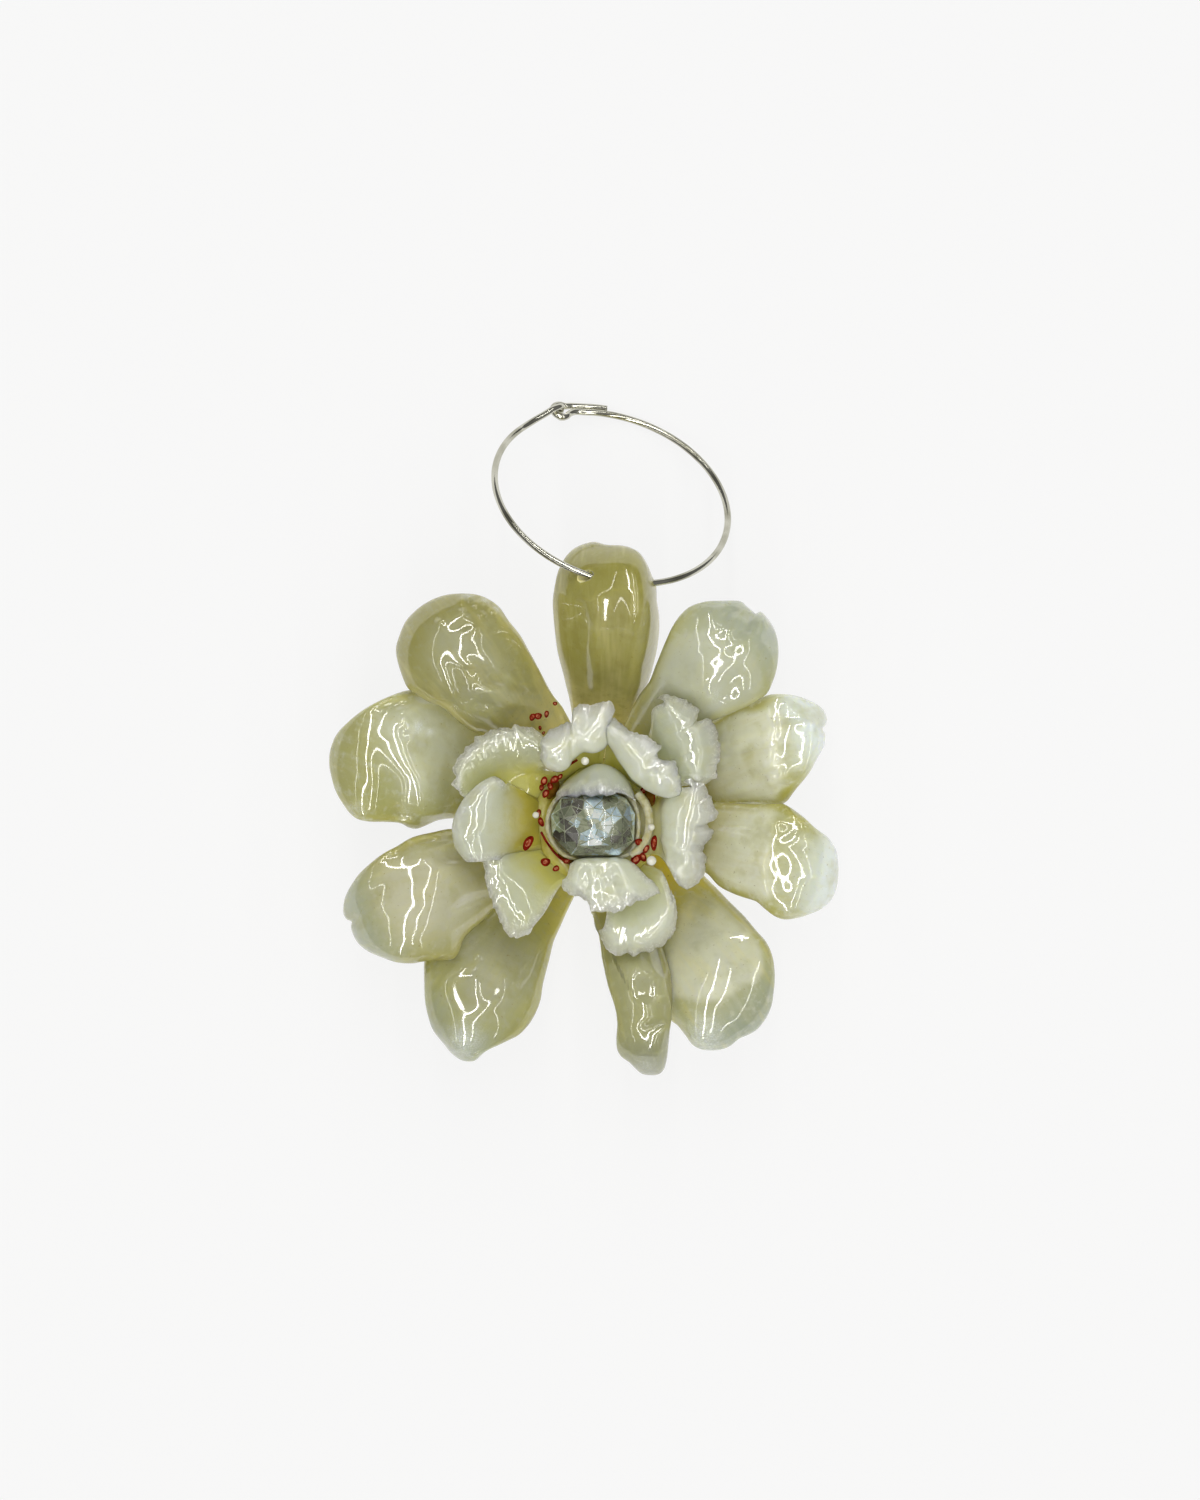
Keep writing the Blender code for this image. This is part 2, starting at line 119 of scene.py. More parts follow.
def within(points, x, y):
    """How deep each place of the plan is inside a closed outline; outside it is negative."""
    p = np.asarray(points, float)
    inside = np.zeros(np.shape(x), bool)
    for (ax, ay), (bx, by) in zip(p, np.roll(p, -1, axis=0)):
        crosses = (ay > y) != (by > y)
        edge = ax + (y - ay) * (bx - ax) / np.where(by == ay, 1e-12, by - ay)
        inside ^= crosses & (x < edge)
    return np.where(inside, 1.0, -1.0) * distance(p, x, y, closed=True)


def waves(points, size, seed):
    """Smooth noise between -1 and 1 at each point."""
    shift = Vector((seed * 17.3, seed * 5.1, seed * 9.7))
    flat = np.asarray(points, float).reshape(-1, 3)
    found = [noise.noise(Vector(p) / size + shift) for p in flat]
    return np.array(found).reshape(np.shape(points)[:-1])


def grid_normals(p):
    """The surface's normal at each point of a grid."""
    along = np.gradient(p, axis=0)
    across = np.gradient(p, axis=1)
    n = np.cross(along, across)
    return n / np.maximum(np.linalg.norm(n, axis=2, keepdims=True), 1e-12)


NEAR_LAMP, RIGHT_LAMP = 0.026, -0.13  # slope at which a surface mirrors each lamp
FOLLOW_STEP = 0.8  # share of what is missing that one round makes up
FOLLOW_MOST = (0.7, 0.6)  # change of slope and of curve in one round
FOLLOW_EVEN = 13  # points of a line that are averaged
LINE_FADE = 1.2  # length over which a line's effect fades past its ends
STEEPEST = 0.3  # least upward share of a normal


def follow(surface, lines, width, curve, fade, z, rounds=4):
    """Shape a surface a little, so that each line of pixels has the slope and curve at which it mirrors a lamp."""
    surface = surface.copy()
    x, y = surface[..., 0], surface[..., 1]
    (xa, xb), (ya, yb) = np.gradient(x), np.gradient(y)
    area = xa * yb - xb * ya
    area = np.where(np.abs(area) < 1e-9, 1e-9, area)
    for _ in range(rounds):
        for line, wanted in lines:
            points = spline(plan(line, z), 40)
            points = points[np.argsort(points[:, 1])]
            normal = grid_normals(surface)
            slope = -normal[..., 0] / np.maximum(np.abs(normal[..., 2]), STEEPEST) * np.sign(normal[..., 2])
            sa, sb = np.gradient(slope)
            bend = (sa * yb - sb * ya) / area
            there = [np.hypot(x - px, y - py).argmin() for px, py in points]
            found = np.stack([wanted - slope.reshape(-1)[there], curve - bend.reshape(-1)[there]], 1)
            found = np.clip(found, -np.array(FOLLOW_MOST), FOLLOW_MOST)
            found = np.pad(found, ((FOLLOW_EVEN // 2, FOLLOW_EVEN // 2), (0, 0)), mode="edge")
            even = np.ones(FOLLOW_EVEN) / FOLLOW_EVEN
            found = np.stack([np.convolve(found[:, k], even, mode="valid") for k in (0, 1)], 1)
            off = x - np.interp(y, points[:, 1], points[:, 0])
            low, high = points[0, 1], points[-1, 1]
            span = smooth((y - low) / LINE_FADE + 0.8) * smooth((high - y) / LINE_FADE + 0.8)
            need, round_off = (np.interp(y, points[:, 1], found[:, k]) for k in (0, 1))
            lift = (need * off + 0.5 * round_off * off * off) * np.exp(-((off / width) ** 2))
            surface[..., 2] += FOLLOW_STEP * lift * span * fade
    return surface


def link(name, data):
    """A new object in the scene."""
    thing = bpy.data.objects.new(name, data)
    bpy.context.scene.collection.objects.link(thing)
    return thing


def make_object(name, verts, faces, material, smooth_shade=True, fields=None):
    """A new object from millimetre points, with a float attribute for each field."""
    data = bpy.data.meshes.new(name)
    data.from_pydata([tuple(v) for v in np.asarray(verts) * MM], [], [tuple(int(i) for i in f) for f in faces])
    data.update()
    for field, values in (fields or {}).items():
        layer = data.attributes.new(field, "FLOAT", "POINT")
        layer.data.foreach_set("value", np.asarray(values, np.float32))
    if smooth_shade:
        data.shade_smooth()
    data.materials.append(material)
    return link(name, data)


def closed_sheet(name, upper, lower, material, fields):
    """A closed body between two grids of points that share their border."""
    rows, columns = upper.shape[:2]
    index = np.arange(rows * columns).reshape(rows, columns)
    below = index.copy()
    inner = np.zeros((rows, columns), bool)
    inner[1:-1, 1:-1] = True
    below[inner] = rows * columns + np.arange(inner.sum())
    verts = np.vstack([upper.reshape(-1, 3), lower[inner]])
    faces = []
    for i in range(rows - 1):
        for j in range(columns - 1):
            faces.append((index[i, j], index[i + 1, j], index[i + 1, j + 1], index[i, j + 1]))
            faces.append((below[i, j], below[i, j + 1], below[i + 1, j + 1], below[i + 1, j]))
    values = {k: np.concatenate([v.reshape(-1), v[inner]]) for k, v in fields.items()}
    return make_object(name, verts, faces, material, fields=values)


def torus_faces(around, across):
    """Faces of a ring of points that has a closed section at each step round."""
    faces = []
    for i in range(around):
        for j in range(across):
            k, m = (i + 1) % around, (j + 1) % across
            faces.append((i * across + j, k * across + j, k * across + m, i * across + m))
    return faces


def tube_faces(start, stations, sides):
    """Faces of a tube with closed ends, whose points begin at an index."""
    faces = []
    for a in range(start, start + (stations - 1) * sides, sides):
        for j in range(sides):
            k = (j + 1) % sides
            faces.append((a + j, a + k, a + sides + k, a + sides + j))
    faces.append([start + j for j in reversed(range(sides))])
    faces.append([start + (stations - 1) * sides + j for j in range(sides)])
    return faces


# Materials


class Nodes:
    """A short way to wire a material's nodes."""

    def __init__(self, name):
        self.material = bpy.data.materials.new(name)
        self.material.use_nodes = True
        self.tree = self.material.node_tree
        self.shader = self.tree.nodes["Principled BSDF"]

    def put(self, socket, value):
        if isinstance(value, bpy.types.NodeSocket):
            self.tree.links.new(value, socket)
        elif isinstance(value, (tuple, list)) and len(value) == 3 and socket.type == "RGBA":
            socket.default_value = (*value, 1.0)
        else:
            socket.default_value = value

    def node(self, kind, inputs=None, **settings):
        made = self.tree.nodes.new(kind)
        for key, value in settings.items():
            setattr(made, key, value)
        for key, value in (inputs or {}).items():
            self.put(made.inputs[key], value)
        return made

    def set(self, **values):
        for key, value in values.items():
            self.put(self.shader.inputs[key.replace("_", " ")], value)

    def field(self, name):
        return self.node("ShaderNodeAttribute", attribute_name=name).outputs["Fac"]

    def place(self):
        return self.node("ShaderNodeTexCoord").outputs["Object"]

    def math(self, operation, a, b=0.0, c=0.0):
        made = self.node("ShaderNodeMath", operation=operation)
        for socket, value in zip(made.inputs, (a, b, c)):
            self.put(socket, value)
        return made.outputs[0]

    def times(self, a, b):
        return self.math("MULTIPLY", a, b)

    def plus(self, a, b):
        return self.math("ADD", a, b)

    def ramp(self, value, low, high, to_low=0.0, to_high=1.0):
        made = self.node("ShaderNodeMapRange", interpolation_type="SMOOTHSTEP")
        for socket, number in zip(made.inputs, (value, low, high, to_low, to_high)):
            self.put(socket, number)
        return made.outputs[0]

    def mix(self, share, a, b):
        made = self.node("ShaderNodeMix", data_type="RGBA")
        self.put(made.inputs[0], share)
        self.put(made.inputs[6], a)
        self.put(made.inputs[7], b)
        return made.outputs[2]

    def noise(self, scale, detail=2.0, rough=0.5, distortion=0.0):
        """Noise of a size in millimetres."""
        made = self.node(
            "ShaderNodeTexNoise",
            {"Vector": self.place(), "Scale": 1.0 / (scale * MM), "Detail": detail, "Roughness": rough,
             "Distortion": distortion},
        )
        return made.outputs["Fac"]

    def fibres(self, lengthwise, crosswise):
        """Noise drawn out along a petal."""
        place = self.node("ShaderNodeCombineXYZ")
        self.put(place.inputs[0], self.times(self.field("along"), lengthwise))
        self.put(place.inputs[1], self.times(self.field("across"), crosswise / 4))
        self.put(place.inputs[2], self.times(self.field("rim"), 0.1))
        made = self.node("ShaderNodeTexNoise", {"Vector": place.outputs[0], "Scale": 1.0, "Detail": 3.0})
        return made.outputs["Fac"]

    def bump(self, height, distance, strength=1.0):
        made = self.node("ShaderNodeBump", {"Height": height, "Distance": distance * MM, "Strength": strength})
        return made.outputs["Normal"]


def outer_resin(name, edge, body, core, tip, root):
    """Resin over a petal: olive at its edge, deepened there by painted shade, creamy in its core, grey-green and
    clearer at its tip, and the root's colour near its root, lifted as painted light for some petals.
    """
    n = Nodes(name)
    rim, along, cream, frost_and_glint = n.field("rim"), n.field("along"), n.field("core"), n.field("frost_and_glint")
    cloud = n.noise(3.2, 3.0, 0.55)
    streak = n.noise(0.9, 4.0, 0.6)
    fibre = n.fibres(5.0, 26.0)
    # Olive towards the rim: the resin's own edge colour, deepened as painted shade.
    colour = n.mix(n.ramp(rim, 0.2, 2.6), edge, body)
    colour = n.mix(n.times(cream, n.ramp(cloud, 0.25, 0.6, 0.7, 1.0)), colour, core)
    clear = n.times(n.ramp(along, 0.72, 0.95), n.math("SUBTRACT", 1.0, cream))
    colour = n.mix(clear, colour, tip)
    # Near the rim towards the root, a blend of root and edge colours; where the root colour is painted light, so is
    # this blend.
    side = n.times(n.ramp(rim, 1.7, 0.2), n.ramp(along, 0.95, 0.6))
    colour = n.mix(side, colour, n.mix(0.65, root, edge))
    # Painted shade: a dark band right along the rim, where shade falls between overlapping petals.
    painted_rim_shade = n.times(n.ramp(rim, 0.8, 0.1), n.ramp(along, 0.95, 0.65, 0.0, 0.6))
    colour = n.mix(painted_rim_shade, colour, (edge[0] * 0.45, edge[1] * 0.42, edge[2] * 0.2))
    # The root's colour near the root; for the pale roots of OLIVE and UPPER_LEFT this is painted light, lifting roots
    # that the inner petals shade.
    colour = n.mix(n.ramp(along, 0.52, 0.14), colour, root)
    colour = n.mix(n.ramp(cloud, 0.45, 0.7, 0.0, 0.45), colour, edge)
    colour = n.mix(n.ramp(streak, 0.5, 0.72, 0.0, 0.42), colour, core)
    colour = n.mix(n.ramp(fibre, 0.45, 0.75, 0.0, 0.16), colour, root)
    colour = n.mix(n.ramp(fibre, 0.5, 0.25, 0.0, 0.2), colour, core)
    fault = n.noise(0.35, 2.0, 0.7)
    colour = n.mix(n.ramp(fault, 0.66, 0.74, 0.0, 0.5), colour, (0.28, 0.22, 0.06))
    # White spots: frost in the resin, and at some marked spots painted glints and painted highlights.
    speck = n.ramp(n.noise(0.16, 1.0, 0.5), 0.5, 0.62)
    frost_and_glint_mask = n.times(frost_and_glint, n.plus(0.45, n.times(speck, 0.5)))
    colour = n.mix(frost_and_glint_mask, colour, (0.86, 0.9, 0.86))
    wrinkle = n.plus(n.times(cloud, 0.6), n.times(streak, 0.12))
    n.set(Base_Color=colour, Roughness=0.3, IOR=1.25, Subsurface_Weight=0.7, Subsurface_Radius=(1.0, 1.0, 0.6),
          Subsurface_Scale=0.0016, Coat_Weight=1.0, Coat_Roughness=0.06, Coat_IOR=1.8,
          Normal=n.bump(wrinkle, 0.35, 0.6))
    return n.material


def frill_resin(name, ivory, throat, clear, base):
    """Resin over an inner petal: yellow-green in its throat, ivory on its roll, with pale flecks at its torn rim,
    partly painted glints, and a pale line of painted light along that rim.
    """
    n = Nodes(name)
    high, rim = n.field("high"), n.field("rim")
    cloud = n.noise(1.8, 3.0, 0.55)
    grain = n.noise(0.25, 2.0, 0.6)
    lift = n.plus(high, n.ramp(cloud, 0.25, 0.75, -0.5, 0.5))
    colour = n.mix(n.ramp(lift, base, base + 3.8), throat, ivory)
    colour = n.mix(n.ramp(cloud, 0.4, 0.8, 0.0, 0.3), colour, throat)
    colour = n.mix(n.times(n.ramp(rim, 1.2, 0.1), 0.45), colour, clear)
    # Pale flecks near the rim: partly specks in the resin, partly painted glints on the torn edge.
    white_fleck_and_glint = n.times(n.ramp(grain, 0.56, 0.66), n.ramp(rim, 1.6, 0.1, 0.0, 0.7))
    colour = n.mix(white_fleck_and_glint, colour, (0.88, 0.91, 0.78))
    milky = n.times(n.ramp(n.noise(0.8, 3.0, 0.6), 0.44, 0.62), n.ramp(rim, 2.0, 0.3, 0.0, 0.4))
    colour = n.mix(milky, colour, (0.80, 0.84, 0.66))
    # Painted light: a pale line along the torn rim, standing in for light shining through the thin edge.
    thin = n.times(n.ramp(rim, 0.3, 0.06), n.ramp(grain, 0.35, 0.6, 0.2, 0.8))
    colour = n.mix(thin, colour, (0.92, 0.95, 0.82))
    dark = n.times(n.ramp(grain, 0.42, 0.3), n.ramp(rim, 0.9, 0.05, 0.0, 0.3))
    colour = n.mix(dark, colour, (0.33, 0.36, 0.26))
    height = n.plus(n.times(cloud, 0.5), n.times(grain, 0.12))
    n.set(Base_Color=colour, Roughness=0.42, IOR=1.25, Subsurface_Weight=1.0, Subsurface_Radius=(1.0, 1.0, 0.75),
          Subsurface_Scale=0.002, Coat_Weight=1.0, Coat_Roughness=0.025, Coat_IOR=1.8,
          Normal=n.bump(height, 0.3, 0.6))
    return n.material


def silver_wire():
    """Bright wire, tarnished in places."""
    n = Nodes("silver_wire")
    worn = n.noise(3.0, 2.0, 0.5)
    colour = n.mix(n.ramp(worn, 0.4, 0.75), (0.62, 0.61, 0.52), (0.34, 0.33, 0.25))
    n.set(Base_Color=colour, Metallic=1.0, Roughness=0.1)
    return n.material


def bead_glass(name, deep, bright):
    """Glassy resin of a bead, mottled between a deep colour and a bright one."""
    n = Nodes(name)
    swirl = n.noise(0.45, 2.0, 0.5)
    n.set(Base_Color=n.mix(n.ramp(swirl, 0.35, 0.65), deep, bright), Roughness=0.25, IOR=1.22,
          Specular_Tint=bright)
    return n.material


def cloudy_resin(name, size, dark, light, relief, **settings):
    """Milky resin, mottled between two colours."""
    n = Nodes(name)
    cloud = n.noise(size, 3.0, 0.6)
    n.set(Base_Color=n.mix(n.ramp(cloud, 0.3, 0.7), dark, light), Subsurface_Weight=1.0,
          Normal=n.bump(cloud, relief, 0.6), **settings)
    return n.material


def hub_resin():
    """The olive resin of the knob that the petals grow from."""
    return cloudy_resin("hub_resin", 2.0, (0.52, 0.45, 0.05), (0.64, 0.58, 0.14), 0.3,
                        Subsurface_Radius=(1.0, 0.9, 0.4), Subsurface_Scale=0.002, Roughness=0.25,
                        Coat_Weight=1.0, Coat_Roughness=0.04)


def lip_resin():
    """The paler resin round the crystal's foot."""
    return cloudy_resin("lip_resin", 0.9, (0.42, 0.39, 0.19), (0.58, 0.57, 0.42), 0.2,
                        Subsurface_Radius=(1.0, 0.95, 0.6), Subsurface_Scale=0.001, Roughness=0.22, IOR=1.4)


# Outer petals


OUTER_THICKNESS = 1.7
OUTER_GRID = 110
RIM_POWER = 10.0  # how square a petal's border is in section
SIDE_POWER = 1.15  # how a petal's sides fall from its crest
SIDE_MOST, SIDE_SLACK = 1.05, 0.12  # where that fall levels out
SPINE_MOST = 1.08
SOFT_CREST = 0.5
FINE = 0.5  # strokes narrower than this are ridges
RIDGE_WIDTH, RIDGE_LIFT = 1.5, 0.75
WAVES = ((5.5, 0.08), (2.6, 0.025))  # size and height of the resin's waves
OUTER_CURVE = -0.14  # curve along the lines that mirror a lamp
OUTER_HEIGHT = 15.0  # at which pixels of the relief are read
OUTER_BORDER = 1.2  # width of the border where the relief fades
FINE_STEPS, COARSE_STEPS = 720, 90  # directions in which the silhouette is measured


class Petal:
    """An outer petal: its spine as in the solid model, its outline and its relief as the photograph shows."""

    def __init__(self, azimuth, reach, bend, half, widest, neck, heights, arch, crest, middle, outline, **more):
        self.azimuth, self.reach, self.bend, self.half = azimuth, reach, bend, half
        self.widest, self.neck, self.heights, self.arch, self.crest = widest, neck, heights, arch, crest
        self.middle = plan([middle])[0]
        self.outline = plan(outline)
        self.strokes = more.get("strokes", ())
        self.core = more.get("core")
        self.core_edge = more.get("core_edge", 0.5)
        # White spots: frost in the resin, and painted glints and highlights.
        self.frost_and_glint = more.get("frost_and_glint", ())
        self.lines = more.get("lines", ())
        self.follow = more.get("follow", 1.8)
        self.wave = more.get("wave", 1.0)
        self.colours = more["colours"]

    def spine(self, x, y):
        """Share along the spine and across it, at a place of the plan."""
        turn = math.radians(self.azimuth)
        u = x * math.cos(turn) + y * math.sin(turn)
        v = -x * math.sin(turn) + y * math.cos(turn)
        s = (u - ROOT_RADIUS) / (self.reach - ROOT_RADIUS)
        half = self.neck + (self.half - self.neck) * smooth(s / self.widest)
        return s, (v - self.bend * s * s) / half

    def height(self, x, y):
        """Height of the petal's middle surface."""
        s, t = self.spine(x, y)
        room = np.where(t > self.crest, 1 - self.crest, 1 + self.crest)
        side = np.sqrt(((t - self.crest) / room) ** 2 + SOFT_CREST**2) - SOFT_CREST
        side = side / (math.sqrt(1 + SOFT_CREST**2) - SOFT_CREST)
        rise = bezier(self.heights, np.clip(s, 0.0, SPINE_MOST))
        past = 1 - np.exp(-np.maximum(side - SIDE_MOST, 0) / SIDE_SLACK)
        side = np.minimum(side, SIDE_MOST) + SIDE_SLACK * past
        z = rise - self.arch * side**SIDE_POWER * smooth(s / self.widest)
        for line, width, lift in self.strokes:
            if width >= FINE:
                z = z + lift * np.exp(-((distance(plan(line), x, y) / width) ** 2))
        return z

    def ridges(self, x, y):
        """The fine relief of the resin's surface."""
        lift = np.zeros_like(x)
        for line, width, height in self.strokes:
            if width < FINE:
                path = plan(line, OUTER_HEIGHT)
                if len(line) > 1:
                    path = spline(path, 4 * len(line))
                away = distance(path, x, y) / width / RIDGE_WIDTH
                lift = np.maximum(lift, RIDGE_LIFT * height * np.exp(-(away**2)))
        return lift


def reach_by_angle(points, middle, steps):
    """The furthest reach of points from a middle, in each of many directions."""
    offset = points - middle
    angle = np.arctan2(offset[:, 1], offset[:, 0])
    far = np.hypot(offset[:, 0], offset[:, 1])
    slot = np.round((angle + math.pi) / (2 * math.pi) * steps).astype(int) % steps
    found = np.zeros(steps)
    np.maximum.at(found, slot, far)
    angles = np.arange(steps) / steps * 2 * math.pi - math.pi
    known = found > 0
    return angles, np.interp(angles, angles[known], found[known], period=2 * math.pi)


def outer_petal(name, petal, seed):
    """An outer petal: a round grid drawn out to its outline, with a skin above and below."""
    u = np.linspace(-1, 1, OUTER_GRID)
    u = 0.62 * u + 0.38 * np.sin(u * math.pi / 2)
    a, b = np.meshgrid(u, u, indexing="ij")
    p, q = a * np.sqrt(1 - b * b / 2), b * np.sqrt(1 - a * a / 2)
    ring = np.clip(np.hypot(p, q), 0, 1)
    angle = np.arctan2(q, p) + math.radians(petal.azimuth)
    loop = spline(petal.outline, 2 * FINE_STEPS, closed=True)
    angles, radii = reach_by_angle(loop, petal.middle, FINE_STEPS)
    coarse, wanted = reach_by_angle(loop, petal.middle, COARSE_STEPS)
    half_depth = OUTER_THICKNESS / 2 * np.sqrt(np.clip(1 - ring**RIM_POWER, 0, 1))
    for _ in range(3):
        r = ring * np.interp(angle, angles, radii, period=2 * math.pi)
        x, y = petal.middle[0] + r * np.cos(angle), petal.middle[1] + r * np.sin(angle)
        mid = np.dstack([x, y, petal.height(x, y)])
        normal = grid_normals(mid)
        upper = mid + normal * half_depth[..., None]
        lower = mid - normal * half_depth[..., None]
        both = np.vstack([upper.reshape(-1, 3), lower.reshape(-1, 3)])[:, :2]
        share = wanted / reach_by_angle(both, petal.middle, COARSE_STEPS)[1]
        share = (np.roll(share, 1) + 2 * share + np.roll(share, -1)) / 4
        radii = radii * np.interp(angles, coarse, np.clip(share, 0.85, 1.1), period=2 * math.pi)
    depth = distance(loop[::4], x, y, closed=True)
    ripple = petal.ridges(upper[..., 0], upper[..., 1])
    for size, lift in WAVES:
        ripple = ripple + waves(mid, size, seed) * lift * petal.wave
    fade = smooth(depth / OUTER_BORDER)
    upper = upper + normal * (ripple * fade)[..., None]
    upper = follow(upper, petal.lines, petal.follow, OUTER_CURVE, fade, OUTER_HEIGHT)
    s, t = petal.spine(x, y)
    core = np.zeros_like(s)
    if petal.core:
        core = smooth(within(plan(petal.core), x, y) / petal.core_edge / 2 + 0.5)
    # White spots: frost in the resin, and painted glints and highlights.
    frost_and_glint = np.zeros_like(s)
    for (px, py), size, weight in petal.frost_and_glint:
        frost_and_glint = np.maximum(frost_and_glint, weight * np.exp(-((distance(plan([(px, py)]), x, y) / size) ** 2)))
    fields = {"rim": depth, "along": s, "across": t, "core": core, "frost_and_glint": frost_and_glint}
    return closed_sheet(name, upper, lower, outer_resin(name, *petal.colours), fields)


# Colours of each petal's edge, body, core, tip and root. The pale roots of OLIVE and UPPER_LEFT are painted light,
# lifting roots that the inner petals shade.
OLIVE = ((0.28, 0.25, 0.05), (0.36, 0.335, 0.08), (0.43, 0.40, 0.14), (0.34, 0.315, 0.06), (1.0, 0.93, 0.46))
UPPER_LEFT = ((0.35, 0.325, 0.09), (0.38, 0.365, 0.14), (0.40, 0.40, 0.24), (0.35, 0.325, 0.09), (0.90, 0.82, 0.36))
LEFT = ((0.41, 0.40, 0.13), (0.42, 0.42, 0.16), (0.62, 0.64, 0.49), (0.42, 0.41, 0.17), (0.66, 0.60, 0.18))
LOWER = ((0.40, 0.38, 0.14), (0.46, 0.45, 0.20), (0.58, 0.57, 0.41), (0.44, 0.47, 0.33), (0.66, 0.60, 0.18))
BOTTOM_LEFT = ((0.36, 0.35, 0.10), (0.40, 0.40, 0.16), (0.45, 0.45, 0.31), (0.40, 0.43, 0.30), (0.64, 0.59, 0.16))
BOTTOM = ((0.36, 0.36, 0.17), (0.41, 0.41, 0.20), (0.47, 0.47, 0.28), (0.31, 0.32, 0.20), (0.60, 0.55, 0.18))
PALE = ((0.42, 0.43, 0.24), (0.47, 0.47, 0.25), (0.70, 0.71, 0.56), (0.38, 0.42, 0.31), (0.88, 0.77, 0.14))
CREAM = ((0.45, 0.44, 0.11), (0.56, 0.57, 0.34), (0.80, 0.81, 0.66), (0.83, 0.90, 0.88), (0.54, 0.46, 0.07))
UPPER_RIGHT = ((0.46, 0.47, 0.26), (0.51, 0.53, 0.35), (0.58, 0.60, 0.46), (0.46, 0.50, 0.38), (0.62, 0.58, 0.20))

